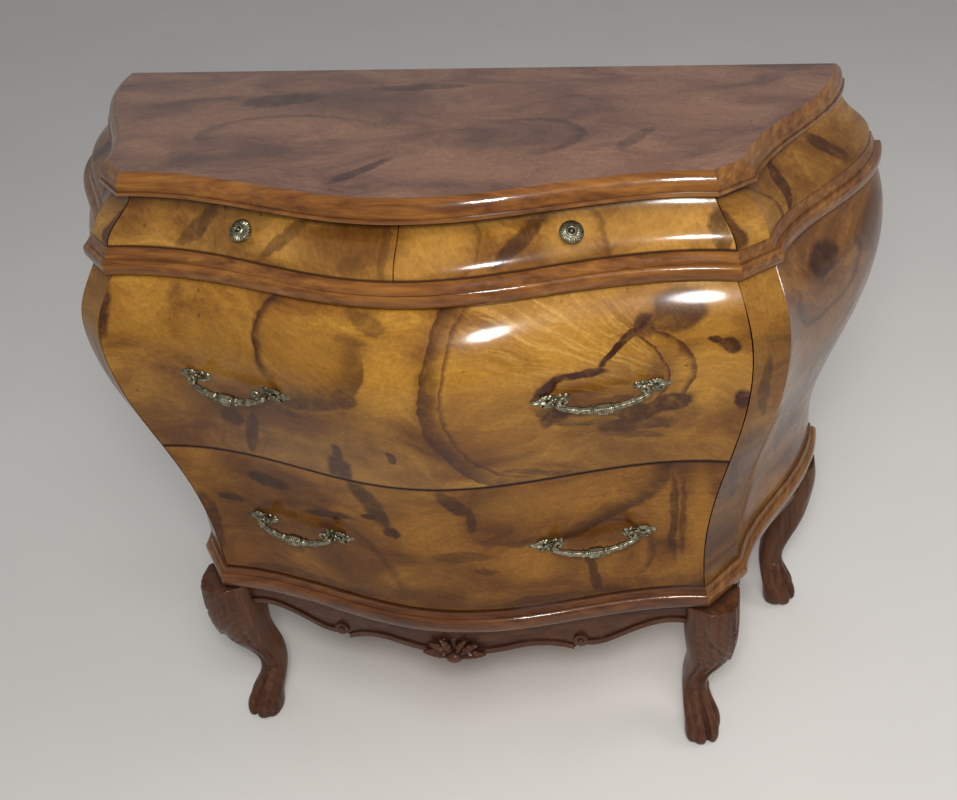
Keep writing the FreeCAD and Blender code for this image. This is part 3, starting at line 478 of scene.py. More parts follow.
def layGround(tree, bent, ragged, figure):
    # drifting tone, soft areas and rays, then growth lines and flecks that follow the same drift
    tint = figure["tint"]
    turned = mapping(tree, bent, rotation=(0, 0, figure["grain"]), scale=(1.0, 1.8, 1.0))
    cloud = noise(tree, turned, veneerLook["cloudScale"], 6.0, 0.58, 0.7).outputs[0]
    colour = ramp(tree, cloud, ((0.34, tint["deep"]), (0.46, tint["mid"]), (0.62, tint["light"]),
                                (0.74, tint["mid"])))
    glow, shade = (joinMasks(tree, [spotMask(tree, ragged, area, *veneerLook["softEdge"]) for area in areas])
                   for areas in (figure["glow"], figure["shade"]))
    colour = mixColour(tree, glow, colour, tint["light"])
    patches = noise(tree, bent, veneerLook["patchScale"], 4.0, 0.6).outputs[0]
    patchy = mapRange(tree, patches, 0.3, 0.66, 0.55, 1.0)
    colour = mixColour(tree, mathNode(tree, "MULTIPLY", shade, patchy), colour, tint["deep"])
    if "fan" in figure:
        colour = mixColour(tree, fanMask(tree, bent, figure["fan"]), colour, figure["fan"]["colour"])
    phase = mathNode(tree, "MULTIPLY", cloud, veneerLook["lineCount"])
    lines = mapRange(tree, mathNode(tree, "SINE", phase), -1.0, 1.0, 0.92, 1.03, "LINEAR")
    colour = mixColour(tree, 1.0, colour, lines, "MULTIPLY")
    fleck = mapRange(tree, noise(tree, ragged, veneerLook["fleckScale"], 6.0, 0.74).outputs[0], 0.55, 0.70)
    density = mapRange(tree, mathNode(tree, "MAXIMUM", shade, 0.25), 0.0, 1.0, 0.0, 0.75, "LINEAR")
    return mixColour(tree, mathNode(tree, "MULTIPLY", fleck, density), colour, tint["deep"])


def layFigure(tree, bent, ragged, figure, colour):
    # the dark figure, broken up where the blade cut across it
    masks = [ringMask(tree, ragged, growth) for growth in figure["rings"]]
    masks += [spotMask(tree, ragged, area, *veneerLook["sharpEdge"]) for area in figure["marks"]]
    broken = mapRange(tree, noise(tree, bent, veneerLook["cutScale"], 5.0, 0.7).outputs[0],
                      0.30, 0.58, 0.62, 1.0)
    dark = mathNode(tree, "MULTIPLY", joinMasks(tree, masks), broken)
    return mixColour(tree, dark, colour, figure["tint"]["dark"])


def layBurr(tree, flat, bent, ragged, figure, fibres, colour):
    # fibres, the pin knots of burr and a fine mottle
    streak = mapRange(tree, fibres.outputs["Fibre"], 0.32, 0.68, 0.90, 1.07, "LINEAR")
    colour = mixColour(tree, 1.0, colour, streak, "MULTIPLY")
    pin = addNode(tree, "ShaderNodeTexVoronoi", feature="F1")
    wire(tree, ragged, pin.inputs["Vector"])
    pin.inputs["Scale"].default_value = veneerLook["pinScale"]
    chosen = mapRange(tree, noise(tree, flat, veneerLook["pinArea"], 2.0).outputs[0], 0.50, 0.60)
    dots = mapRange(tree, pin.outputs["Distance"], 0.04, 0.14, 0.8, 0.0)
    colour = mixColour(tree, mathNode(tree, "MULTIPLY", dots, chosen), colour, figure["tint"]["deep"])
    burr = noise(tree, bent, veneerLook["burrScale"], 4.0, 0.7).outputs[0]
    mottle = mapRange(tree, burr, 0.33, 0.66, 0.84, 1.10, "LINEAR")
    return mixColour(tree, 1.0, colour, mottle, "MULTIPLY")


def paintSeamShade(tree, flat, figure, colour):
    # painted shade: darkens the top and bottom rims of a front, where the gaps at its seams fall in shadow
    for edge in figure.get("edges", ()):
        split = addNode(tree, "ShaderNodeSeparateXYZ")
        wire(tree, flat, split.inputs[0])
        gap = mathNode(tree, "ABSOLUTE", mathNode(tree, "SUBTRACT", split.outputs[1], edge))
        rim = mapRange(tree, gap, *veneerLook["rim"], 0.95, 0.0)
        colour = mixColour(tree, rim, colour, figure["tint"]["dark"])
    return colour


def makeVeneer(name, plane, figure):
    material, tree, shader, place = newMaterial(
        name, Coat_Weight=figure.get("coat", veneerLook["coat"]), Coat_Roughness=veneerLook["coatRough"],
        Coat_IOR=1.5, IOR=1.45, Specular_IOR_Level=veneerLook["specular"])
    flat = plane(tree, place)
    bent = warp(tree, flat, *veneerLook["drift"])
    ragged = warp(tree, bent, *veneerLook["tear"])
    fibres = useGroup(tree, fibreGroup, Vector=mapping(tree, bent, rotation=(0, 0, figure["grain"])),
                      Stretch=veneerLook["stretch"], Fineness=veneerLook["fineness"])
    colour = layGround(tree, bent, ragged, figure)
    colour = layFigure(tree, bent, ragged, figure, colour)
    colour = layBurr(tree, flat, bent, ragged, figure, fibres, colour)
    wire(tree, paintSeamShade(tree, flat, figure, colour), shader.inputs["Base Color"])
    pores = mathNode(tree, "MULTIPLY", fibres.outputs["Pores"], veneerLook["poreDepth"])
    finishVarnish(tree, shader, place, pores, veneerLook["bump"], veneerLook["rough"])
    return material


print("building the veneers")
veneers = {name: makeVeneer(name + "Veneer", plane, figure) for name, plane, figure in (
    ("upper", frontPlane, upperVeneer), ("lower", frontPlane, lowerVeneer),
    ("frieze", frontPlane, friezeVeneer), ("stile", frontPlane, stileVeneer),
    ("corner", sidePlane, cornerVeneer), ("side", sidePlane, sideVeneer), ("top", topPlane, topVeneer))}

# solid woods: grain is the axis that the fibres run along, tints run from light to deep
# the dirt key (hollowShade) sets how much painted shade darkens the hollows that ambient occlusion finds
polished = {"fineness": 130.0, "rough": (0.2, 0.32), "coat": 0.6, "hollowShade": 0.65}
carved = {"fineness": 150.0, "rough": (0.3, 0.48), "coat": 0.22, "hollowShade": 0.85,
          "tints": ((0.105, 0.042, 0.018), (0.072, 0.027, 0.012), (0.038, 0.014, 0.008))}
solidWoods = {
    "frontMoulding": {**polished, "grain": "X",
                      "tints": ((0.265, 0.106, 0.019), (0.17, 0.06, 0.011), (0.085, 0.027, 0.006))},
    "sideMoulding": {**polished, "grain": "Y",
                     "tints": ((0.24, 0.105, 0.026), (0.155, 0.06, 0.015), (0.085, 0.031, 0.01))},
    "baseMoulding": {**polished, "grain": "X",
                     "tints": ((0.15, 0.052, 0.014), (0.098, 0.032, 0.009), (0.05, 0.016, 0.006))},
    "apronCarving": {**carved, "grain": "X", "fineness": 140.0, "rough": (0.3, 0.45),
                     "tints": ((0.1, 0.038, 0.016), (0.066, 0.024, 0.011), (0.036, 0.013, 0.008))},
    "sideCarving": {**carved, "grain": "Y"},
    "carving": {**carved, "grain": "Z"},
}
grainTurns = {"X": (0, 0, 0), "Y": (0, 0, math.pi / 2), "Z": (0, math.pi / 2, 0)}


def makeSolidWood(name, wood):
    light, mid, deep = wood["tints"]
    material, tree, shader, place = newMaterial(name, Coat_Weight=wood["coat"], Coat_Roughness=0.085,
                                                IOR=1.45, Specular_IOR_Level=0.15)
    laid = mapping(tree, place, rotation=grainTurns[wood["grain"]])
    fibres = useGroup(tree, fibreGroup, Vector=laid, Stretch=14.0, Fineness=wood["fineness"])
    cloud = noise(tree, mapping(tree, laid, scale=(0.10, 1.0, 1.0)), 24.0, 4.0, 0.55)
    blend = mathNode(tree, "ADD", mathNode(tree, "MULTIPLY", fibres.outputs["Fibre"], 0.6),
                     mathNode(tree, "MULTIPLY", cloud.outputs[0], 0.4))
    colour = ramp(tree, blend, ((0.36, deep), (0.5, mid), (0.64, light)))
    # painted shade: the hollows of the wood are darkened towards near-black
    hollowShade = useGroup(tree, hollowShadeGroup, Reach=0.012, Amount=wood["hollowShade"])
    colour = mixColour(tree, hollowShade.outputs[0], colour, (0.014, 0.007, 0.005))
    wire(tree, colour, shader.inputs["Base Color"])
    finishVarnish(tree, shader, place, mathNode(tree, "MULTIPLY", fibres.outputs["Pores"], -0.00003), 0.2,
                  wood["rough"])
    return material


woods = {name: makeSolidWood(name, wood) for name, wood in solidWoods.items()}

beech = {"light": (0.58, 0.4, 0.23), "dark": (0.42, 0.26, 0.13)}
rawTimbers = {"backPlywood": {"light": (0.6, 0.42, 0.24), "dark": (0.44, 0.28, 0.14), "grain": "X"},
              "crossBeech": {**beech, "grain": "X"}, "drawerBeech": {**beech, "grain": "Y"}}


def makeTimber(name, timber):
    material, tree, shader, place = newMaterial(name, Specular_IOR_Level=0.3)
    laid = mapping(tree, place, rotation=grainTurns[timber["grain"]])
    fibres = useGroup(tree, fibreGroup, Vector=laid, Stretch=11.0, Fineness=70.0)
    bands = noise(tree, mapping(tree, laid, scale=(0.15, 1.0, 1.0)), 26.0, 3.0, 0.5)
    blend = mathNode(tree, "ADD", mathNode(tree, "MULTIPLY", fibres.outputs["Fibre"], 0.55),
                     mathNode(tree, "MULTIPLY", bands.outputs[0], 0.45))
    wire(tree, ramp(tree, blend, ((0.36, timber["dark"]), (0.62, timber["light"]))),
         shader.inputs["Base Color"])
    wire(tree, mapRange(tree, fibres.outputs["Fibre"], 0.3, 0.7, 0.75, 0.55), shader.inputs["Roughness"])
    addBump(tree, shader, fibres.outputs["Fibre"], 0.3, 0.0002)
    return material


timbers = {name: makeTimber(name, timber) for name, timber in rawTimbers.items()}

# the dirt key (hollowShade) sets how much painted shade darkens the hollows of the castings
metals = {"agedBrass": {"low": (0.1, 0.09, 0.055), "mid": (0.3, 0.27, 0.175), "high": (0.56, 0.52, 0.38),
                        "scale": 210.0, "hollowShade": 0.92, "rough": (0.52, 0.28)},
          "screwSteel": {"low": (0.34, 0.33, 0.32), "mid": (0.48, 0.47, 0.46), "high": (0.6, 0.6, 0.6),
                         "scale": 300.0, "hollowShade": 0.5, "rough": (0.5, 0.3)}}


def makeMetal(name, metal):
    material, tree, shader, place = newMaterial(name, Metallic=1.0)
    patina = noise(tree, place, metal["scale"], 5.0, 0.6)
    colour = ramp(tree, patina.outputs[0], ((0.34, metal["low"]), (0.5, metal["mid"]), (0.68, metal["high"])))
    # painted shade: the hollows of the casting are darkened
    hollowShade = useGroup(tree, hollowShadeGroup, Reach=0.004, Amount=metal["hollowShade"])
    colour = mixColour(tree, hollowShade.outputs[0], colour, (0.03, 0.03, 0.02))
    wire(tree, colour, shader.inputs["Base Color"])
    wire(tree, mapRange(tree, patina.outputs[0], 0.3, 0.7, *metal["rough"]), shader.inputs["Roughness"])
    addBump(tree, shader, patina.outputs[0], 0.25, 0.0005)
    return material


brass = makeMetal("agedBrass", metals["agedBrass"])
steel = makeMetal("screwSteel", metals["screwSteel"])

print("dressing the nodes")

# the first pattern that fits a node's name gives its material
finishes = {
    "*_screws": steel, "*_pull_*": brass, "*_knob": brass, "upper_drawer_front": veneers["upper"],
    "lower_drawer_front": veneers["lower"], "small_drawer*_front": veneers["frieze"],
    "corner_stile*": veneers["stile"], "frieze_side*": veneers["corner"], "side_panel*": veneers["side"],
    "top_board": veneers["top"], "base_moulding_front": woods["baseMoulding"],
    "*_moulding_front": woods["frontMoulding"], "*_moulding_*": woods["sideMoulding"],
    "front_apron": woods["apronCarving"], "side_apron*": woods["sideCarving"], "leg_*": woods["carving"],
    "back_panel": timbers["backPlywood"], "frieze_back": timbers["backPlywood"],
    "*_bottom": timbers["backPlywood"], "waist_board": timbers["crossBeech"],
    "bottom_board": timbers["crossBeech"], "middle_rail": timbers["crossBeech"],
    "*_back": timbers["crossBeech"], "*": timbers["drawerBeech"],
}
for name, node in nodes.items():
    node.data.materials.clear()
    node.data.materials.append(next(finish for pattern, finish in finishes.items()
                                    if fnmatchcase(name, pattern)))


def finishPiece(name, shape, material, body, slot, *replaced, smooth=True):
    for face in shape.faces:
        face.smooth = smooth
    piece = shapeObject(name, shape)
    piece.data.materials.append(material)
    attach(piece, body)
    if replaced:
        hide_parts(*replaced)


def surfaceOf(name):
    # a search tree over one node's faces
    shape = bmesh.new()
    shape.from_mesh(nodes[name].data)
    tree = BVHTree.FromBMesh(shape)
    shape.free()
    return tree


def frontPoint(surface, x, z):
    return surface.ray_cast(Vector((x, -1.0, z)), Vector((0, 1, 0)))[0]


def seatFrame(surface, x, z, reach):
    # local X runs along the front, Y up it and Z out of it, from the chord that the fitting spans
    left = frontPoint(surface, x - reach, z)
    right = frontPoint(surface, x + reach, z)
    along = (right - left).normalized()
    rising = frontPoint(surface, x, z + 0.002) - frontPoint(surface, x, z - 0.002)
    out = along.cross(rising).normalized()
    up = out.cross(along)
    turn = Matrix((along, up, out)).transposed().to_4x4()
    return Matrix.Translation((left + right) / 2) @ turn


def seatProfile(surface, seat, stations):
    # heights of the carrying surface over the seat's plane, taken clear of the screw holes
    out = (seat.to_3x3() @ Vector((0, 0, 1))).normalized()
    heights = []
    for x in stations:
        hit = surface.ray_cast(seat @ Vector((x, 0, 0.05)), -out)[0]
        heights.append((x, (seat.inverted() @ hit).z))
    return heights


def heightAt(profile, x):
    for (low, start), (high, end) in zip(profile[:-1], profile[1:]):
        if x <= high or high == profile[-1][0]:
            return start + (end - start) * (x - low) / (high - low)
    return profile[-1][1]


veining = {"depth": 0.18, "slant": 0.9, "edgeHeight": 0.55, "ribHeight": 0.45, "ribWidth": 0.22}


def addLeaf(shape, leaf):
    # a carved blade made from a ball: its poles are the root and the tip
    made = bmesh.ops.create_uvsphere(shape, u_segments=leaf["around"], v_segments=leaf["along"], radius=1.0)
    blade = made["verts"]
    bmesh.ops.rotate(shape, verts=blade, matrix=Matrix.Rotation(math.pi / 2, 3, "Y"))
    for vert in blade:
        along = (vert.co.x + 1) / 2
        radius = math.hypot(vert.co.y, vert.co.z)
        across = vert.co.y / radius if radius > 1e-6 else 0.0
        lift = vert.co.z / radius if radius > 1e-6 else 0.0
        swell = math.sin(math.pi * min(1.0, along ** leaf["fullness"])) ** 0.7 if 0 < along < 1 else 0.0
        lobes = 1 - leaf["lobeDepth"] * abs(math.cos(math.pi * leaf["lobes"] * along)) * abs(across)
        width = leaf["width"] * swell * lobes
        veins = math.cos(2 * math.pi * (leaf["lobes"] * along + veining["slant"] * abs(across)))
        rib = veining["ribHeight"] * math.exp(-(across / veining["ribWidth"]) ** 2)
        ridge = veining["edgeHeight"] + rib + veining["depth"] * veins * min(1.0, abs(across) * 3)
        curl = leaf["curl"] * along ** 2
        height = leaf["height"] * swell * ridge if lift > 0 else leaf["sunk"]
        vert.co = Vector((leaf["length"] * along,
                          across * width + leaf["sweep"] * math.sin(math.pi * along),
                          lift * height + curl))
    return blade


def mirrorBlade(shape, blade):
    bmesh.ops.scale(shape, verts=blade, vec=(-1, 1, 1))
    bmesh.ops.reverse_faces(shape, faces=list({face for vert in blade for face in vert.link_faces}))


def sweepRing(shape, ring, stations):
    # drags a ring of edges through a row of places; each station is a matrix
    verts = list({vert for edge in ring for vert in edge.verts})
    bmesh.ops.transform(shape, matrix=stations[0], verts=verts)
    last = stations[0]
    first = list(ring)
    for place in stations[1:]:
        made = bmesh.ops.extrude_edge_only(shape, edges=ring)["geom"]
        verts = [item for item in made if isinstance(item, bmesh.types.BMVert)]
        ring = [item for item in made if isinstance(item, bmesh.types.BMEdge)
                and all(vert in verts for vert in item.verts)]
        bmesh.ops.transform(shape, matrix=place @ last.inverted(), verts=verts)
        last = place
    for loop in (first, ring):
        bmesh.ops.contextual_create(shape, geom=loop)


def station(centre, heading, radius):
    turn = heading.to_track_quat("Z", "Y").to_matrix().to_4x4()
    return Matrix.Translation(centre) @ turn @ Matrix.Diagonal((radius, radius, radius, 1.0))


def sweepTube(shape, tube, stations):
    made = bmesh.ops.create_circle(shape, segments=tube["segments"], radius=1.0)["verts"]
    for vert in made:
        turn = math.atan2(vert.co.y, vert.co.x)
        vert.co *= 1 + tube["depth"] * math.cos(tube["flutes"] * turn)
    ring = list({edge for vert in made for edge in vert.link_edges})
    sweepRing(shape, ring, stations)


print("casting the pulls and knobs")
pull = {"postX": 0.052, "tipX": 0.078, "reach": 0.013, "droop": 0.01, "spring": 0.004, "stations": 150,
        "bowRadius": 0.0044, "bowEnd": 0.0033, "bowTube": {"segments": 28, "depth": 0.07, "flutes": 7},
        "barrel": 0.0064, "barrelHalf": 0.18, "collar": (0.3, 0.0016, 0.022), "bead": (0.62, 0.0011, 0.05),
        "postFoot": 0.004, "postRadius": 0.0042, "postWaist": 0.001,
        "postCap": ((0.0022, 0.003), (0.0034, 0.0008)),
        "postTube": {"segments": 20, "depth": 0.1, "flutes": 5},
        "curlSteps": 18, "curlTurns": (-100, 400), "curlRadius": 0.0062, "curlWire": 0.0027,
        "curlPlace": (-0.0065, 0.0085, 0.001), "curlLift": 0.0016,
        "curlTube": {"segments": 14, "depth": 0.0, "flutes": 1},
        "pinX": 0.0575, "pinRadius": 0.0021, "pinLift": 0.0085,
        "clear": (-0.075, -0.064, -0.04, -0.02, 0.0, 0.02, 0.04, 0.064, 0.075)}
pullPlaces = [("upper_drawer", "left", -0.219, 0.62), ("upper_drawer", "right", 0.219, 0.62),
              ("lower_drawer", "left", -0.192, 0.379), ("lower_drawer", "right", 0.192, 0.379)]
plateLeaf = {"around": 40, "along": 48, "length": 0.047, "width": 0.0098, "height": 0.0058, "sunk": 0.004,
             "lobes": 6, "lobeDepth": 0.3, "fullness": 0.66, "curl": 0.0, "sweep": -0.002}
frondLeaf = {"around": 24, "along": 30, "length": 0.019, "width": 0.005, "height": 0.0032, "sunk": 0.003,
             "lobes": 4, "lobeDepth": 0.3, "fullness": 0.75, "curl": 0.0008, "sweep": 0.001}
# leaf, then its root's place from the middle and its lean, then how far it stands off the front
pullLeaves = [(plateLeaf, 0.036, -0.0005, 0.0, 0.0), (frondLeaf, pull["postX"] + 0.001, 0.0025, 0.24, 0.003),
              (frondLeaf, pull["postX"] - 0.001, -0.003, -0.3, 0.0026),
              (frondLeaf, pull["postX"] - 0.006, 0.0, 0.02, 0.0056)]


def bowPoint(share):
    sag = max(0.0, 1 - share ** 2)
    return Vector((pull["postX"] * share, -pull["droop"] * sag ** 0.8, pull["reach"] + pull["spring"] * sag))


def bowRadius(share):
    # plain stem, a collar each side, and a ringed barrel in the middle
    size = abs(share)
    radius = pull["bowEnd"] + (pull["bowRadius"] - pull["bowEnd"]) * (1 - size)
    if size < pull["barrelHalf"]:
        ringed = 0.15 * abs(math.sin(3.5 * math.pi * share / pull["barrelHalf"]))
        swell = 0.86 + 0.14 * math.cos(share / pull["barrelHalf"] * math.pi / 2)
        radius = pull["barrel"] * (swell + ringed)
    for place, lift, width in (pull["collar"], pull["bead"]):
        radius += lift * math.exp(-((size - place) / width) ** 2)
    return radius


def addBow(shape):
    rows = []
    for step in range(pull["stations"] + 1):
        share = 2 * step / pull["stations"] - 1
        heading = bowPoint(min(share + 0.02, 1.0)) - bowPoint(max(share - 0.02, -1.0))
        rows.append(station(bowPoint(share), heading, bowRadius(share)))
    sweepTube(shape, pull["bowTube"], rows)


def addPost(shape, sign, base):
    upright = Vector((0, 0, 1))
    foot = Vector((sign * pull["postX"], 0, base - pull["postFoot"]))
    head = Vector((sign * pull["postX"], 0.001, pull["reach"]))
    post = []
    for share in (0, 0.25, 0.5, 0.75, 1):
        radius = pull["postRadius"] - pull["postWaist"] * math.sin(math.pi * share)
        post.append(station(foot.lerp(head, share), upright, radius))
    for rise, radius in pull["postCap"]:
        post.append(station(head + Vector((0, 0, rise)), upright, radius))
    sweepTube(shape, pull["postTube"], post)


def addScroll(shape, sign):
    # curls up and inwards from the top of a post
    back, rise, out = pull["curlPlace"]
    middle = Vector((sign * (pull["postX"] + back), rise, pull["reach"] + out))
    start, sweep = pull["curlTurns"]
    curl = []
    for step in range(pull["curlSteps"] + 1):
        share = step / pull["curlSteps"]
        turn = math.radians(start + sweep * share)
        size = pull["curlRadius"] * (1 - 0.72 * share)
        reach = Vector((sign * size * math.cos(turn), size * math.sin(turn), pull["curlLift"] * share))
        heading = Vector((-sign * math.sin(turn), math.cos(turn), 0.0))
        curl.append(station(middle + reach, heading, pull["curlWire"] * (1 - 0.45 * share)))
    sweepTube(shape, pull["curlTube"], curl)


def addLeaves(shape, sign, profile):
    for leaf, rootX, rootY, turn, stand in pullLeaves:
        blade = addLeaf(shape, leaf)
        bmesh.ops.rotate(shape, verts=blade, matrix=Matrix.Rotation(turn, 3, "Z"))
        bmesh.ops.translate(shape, verts=blade, vec=(rootX, rootY, stand))
        if sign < 0:
            mirrorBlade(shape, blade)
        for vert in blade:
            vert.co.z += heightAt(profile, vert.co.x)


def makePull(body, side, x, z):
    surface = surfaceOf(body + "_front")
    seat = seatFrame(surface, x, z, pull["tipX"] - 0.003)
    profile = seatProfile(surface, seat, pull["clear"])
    shape = bmesh.new()
    addBow(shape)
    for sign in (-1, 1):
        addPost(shape, sign, heightAt(profile, sign * pull["postX"]))
        addScroll(shape, sign)
        addLeaves(shape, sign, profile)
        pinX = sign * pull["pinX"]
        pin = bmesh.ops.create_uvsphere(shape, u_segments=16, v_segments=10, radius=pull["pinRadius"])
        bmesh.ops.translate(shape, verts=pin["verts"],
                            vec=(pinX, 0, heightAt(profile, pinX) + pull["pinLift"]))
    bmesh.ops.recalc_face_normals(shape, faces=shape.faces)
    bmesh.ops.transform(shape, matrix=seat, verts=shape.verts)
    name = body + "_pull_" + side
    finishPiece("cast_" + name, shape, brass, body, "old_brass", name)


knob = {"radius": 0.0138, "reach": 0.015, "flutes": 24, "fluteDepth": 0.0011, "x": 0.188, "z": 0.792,
        "sunk": 0.004, "fluteStart": 0.46, "fluteBand": 0.007, "rimStart": 0.8, "rimPinch": 0.045,
        "spanHalf": 0.006, "weld": 0.00008,
        "foot": ((0.62, 0.0008), (0.5, 0.0025), (0.42, 0.0045))}
# the turned face from the neck to the middle: shares of the radius, and depths under the top
knobFace = ((0.55, 0.0078), (0.9, 0.0066), (0.99, 0.0054), (1.0, 0.0046), (0.97, 0.0036), (0.88, 0.0029),
            (0.76, 0.0023), (0.64, 0.0019), (0.52, 0.0018), (0.44, 0.002), (0.41, 0.0009), (0.34, 0.0003),
            (0.27, 0.0009), (0.24, 0.0028), (0.18, 0.003), (0.15, 0.0012), (0.09, 0.0003))


def makeKnob(body, x):
    surface = surfaceOf(body + "_front")
    seat = seatFrame(surface, x, knob["z"], knob["spanHalf"])
    radius = knob["radius"]
    reach = knob["reach"]
    shape = bmesh.new()
    outline = [(0.0001, -knob["sunk"]), (radius * 0.60, -knob["sunk"])]
    outline += [(radius * share, height) for share, height in knob["foot"]]
    outline += [(radius * share, reach - depth) for share, depth in knobFace]
    outline.append((0.0001, reach))
    verts = [shape.verts.new((out, 0, height)) for out, height in outline]
    edges = [shape.edges.new(pair) for pair in zip(verts[:-1], verts[1:])]
    bmesh.ops.spin(shape, geom=verts + edges, cent=(0, 0, 0), axis=(0, 0, 1), angle=2 * math.pi,
                   steps=knob["flutes"] * 6, use_merge=True, dvec=(0, 0, 0))
    bmesh.ops.remove_doubles(shape, verts=shape.verts, dist=knob["weld"])
    for vert in shape.verts:
        out = math.hypot(vert.co.x, vert.co.y) / radius
        if vert.co.z > reach - knob["fluteBand"] and out > knob["fluteStart"]:
            hollow = 1 - abs(math.sin(knob["flutes"] / 2 * math.atan2(vert.co.y, vert.co.x)))
            vert.co.z -= knob["fluteDepth"] * hollow * min(1.0, (out - knob["fluteStart"]) / 0.2)
            shrink = 1 - knob["rimPinch"] * hollow * max(0.0, (out - knob["rimStart"]) / 0.2)
            vert.co.x *= shrink
            vert.co.y *= shrink
    bmesh.ops.recalc_face_normals(shape, faces=shape.faces)
    bmesh.ops.transform(shape, matrix=seat, verts=shape.verts)
    finishPiece("cast_" + body + "_knob", shape, brass, body, "old_brass", body + "_knob")


for body, side, x, z in pullPlaces:
    makePull(body, side, x, z)
for body, sign in (("small_drawer_left", -1), ("small_drawer_right", 1)):
    makeKnob(body, sign * knob["x"])

print("carving the legs")
leg = {"voxel": 0.0016, "mergeGap": 0.00002, "band": 0.006, "grooveDepth": 0.0032, "grooveTurn": 0.5,
       "grooveWidth": 0.15, "groovesTop": 0.2, "toeDepth": 0.0042, "toeTop": 0.055, "backDepth": 0.0014,
       "backTurn": 1.35, "ankleZ": 0.066, "ankleCut": 0.0016, "ankleBead": 0.0012, "veinDepth": 0.0016,
       "veinStep": 0.0125, "veinMiddle": 0.245, "ribHeight": 0.001, "leafFoot": 0.138, "leafTurn": 0.35,
       "uncutTop": 0.002}


def valley(distance, width):
    return math.exp(-(distance / width) ** 2)


def fade(gap, reach):
    return min(1.0, max(0.0, gap / reach))


def mergedCopy(name):
    # the node's faces come apart at their seams until they're merged
    shape = bmesh.new()
    shape.from_mesh(nodes[name].data)
    bmesh.ops.remove_doubles(shape, verts=shape.verts, dist=leg["mergeGap"])
    return shape


def relax(shape, factor):
    bmesh.ops.smooth_vert(shape, verts=shape.verts, factor=factor, use_axis_x=True, use_axis_y=True,
                          use_axis_z=True)


def evenCopy(name):
    # faces of one size, so that the carving comes out the same everywhere
    blank = shapeObject("blank_" + name, mergedCopy(name))
    remesh = blank.modifiers.new("even", "REMESH")
    remesh.mode = "VOXEL"
    remesh.voxel_size = leg["voxel"]
    bpy.context.view_layer.update()
    evened = bpy.data.meshes.new_from_object(blank.evaluated_get(bpy.context.evaluated_depsgraph_get()))
    bpy.data.objects.remove(blank)
    shape = bmesh.new()
    shape.from_mesh(evened)
    relax(shape, 0.5)
    relax(shape, 0.5)
    return shape


def spineOf(shape, count):
    # the middle of the leg at each level
    sums = [[0.0, 0.0, 0] for _ in range(count)]
    for vert in shape.verts:
        row = sums[int(vert.co.z / leg["band"])]
        row[0] += vert.co.x
        row[1] += vert.co.y
        row[2] += 1
    spine = [Vector((x / number, y / number)) if number else None for x, y, number in sums]
    for row in range(count):
        if spine[row] is None:
            spine[row] = spine[row - 1]
    return spine


def grooveDepth(z, turn, leafed):
    # a groove each side of the front, toes at the foot, a groove each side behind and a ring at the ankle
    flank = abs(abs(turn) - leg["grooveTurn"])
    rise = fade(leg["groovesTop"] - z, 0.04)
    if leafed:
        rise *= 1 - 0.999 * fade(z - leg["leafFoot"], 0.012)
    depth = leg["grooveDepth"] * valley(flank, leg["grooveWidth"]) * rise
    toe = fade(leg["toeTop"] - z, 0.03)
    depth += leg["toeDepth"] * valley(flank, leg["grooveWidth"] * 1.3) * toe
    depth += leg["backDepth"] * valley(abs(turn) - leg["backTurn"], 0.16)
    if 0.6 < abs(turn) < 1.5:
        depth += leg["ankleCut"] * valley(z - leg["ankleZ"], 0.003)
        depth -= leg["ankleBead"] * valley(z - leg["ankleZ"] + 0.006, 0.004)
    return depth


def leafDepth(z, sideways):
    # slanting veins each side of a raised rib
    slant = (z - leg["veinMiddle"]) * 0.9 - abs(sideways) * 1.2
    veins = math.cos(2 * math.pi * slant / leg["veinStep"])
    cut = leg["veinDepth"] * (0.5 - 0.5 * veins) * fade(abs(sideways), 0.006)
    return cut - leg["ribHeight"] * valley(sideways, 0.003)


def makeCarvedLeg(name, facing, leafed):
    shape = evenCopy(name)
    top = max(vert.co.z for vert in shape.verts)
    count = int(top / leg["band"]) + 2
    spine = spineOf(shape, count)
    out = Vector(facing).normalized()
    aside = Vector((-out.y, out.x))
    shape.normal_update()
    moves = []
    for vert in shape.verts:
        level = max(0.0, vert.co.z / leg["band"] - 0.5)
        low = min(int(level), count - 2)
        middle = spine[low].lerp(spine[low + 1], min(1.0, level - low))
        away = Vector((vert.co.x, vert.co.y)) - middle
        sideways = away.dot(aside)
        depth = grooveDepth(vert.co.z, math.atan2(sideways, away.dot(out)), leafed)
        if leafed and vert.co.z > leg["leafFoot"] and vert.normal.xy.dot(out) > leg["leafTurn"]:
            depth += leafDepth(vert.co.z, sideways)
        moves.append((vert, vert.normal.copy(), depth))
    for vert, normal, depth in moves:
        if vert.co.z < top - leg["uncutTop"]:
            vert.co -= normal * depth
            vert.co.z = max(vert.co.z, 0.0)
    relax(shape, 0.35)
    finishPiece("carved_" + name, shape, woods["carving"], "case", "carved_walnut", name)


makeCarvedLeg("leg_front_left", (-0.79, -0.61), True)
makeCarvedLeg("leg_front_right", (0.79, -0.61), True)
makeCarvedLeg("leg_rear_left", (-1.0, -0.15), False)
makeCarvedLeg("leg_rear_right", (1.0, -0.15), False)

shoulder = {"reach": 0.016, "endDepth": 0.0002}


def makeShoulder(name):
    # the front end of a side apron is let into the leg
    shape = mergedCopy(name)
    front = min(vert.co.y for vert in shape.verts)
    end = [vert for vert in shape.verts if vert.co.y < front + shoulder["endDepth"]]
    bmesh.ops.translate(shape, verts=end, vec=(0.0, -shoulder["reach"], 0.0))
    finishPiece("shouldered_" + name, shape, woods["sideCarving"], "case", "carved_walnut", name,
                smooth=False)


makeShoulder("side_apron_left")
makeShoulder("side_apron_right")

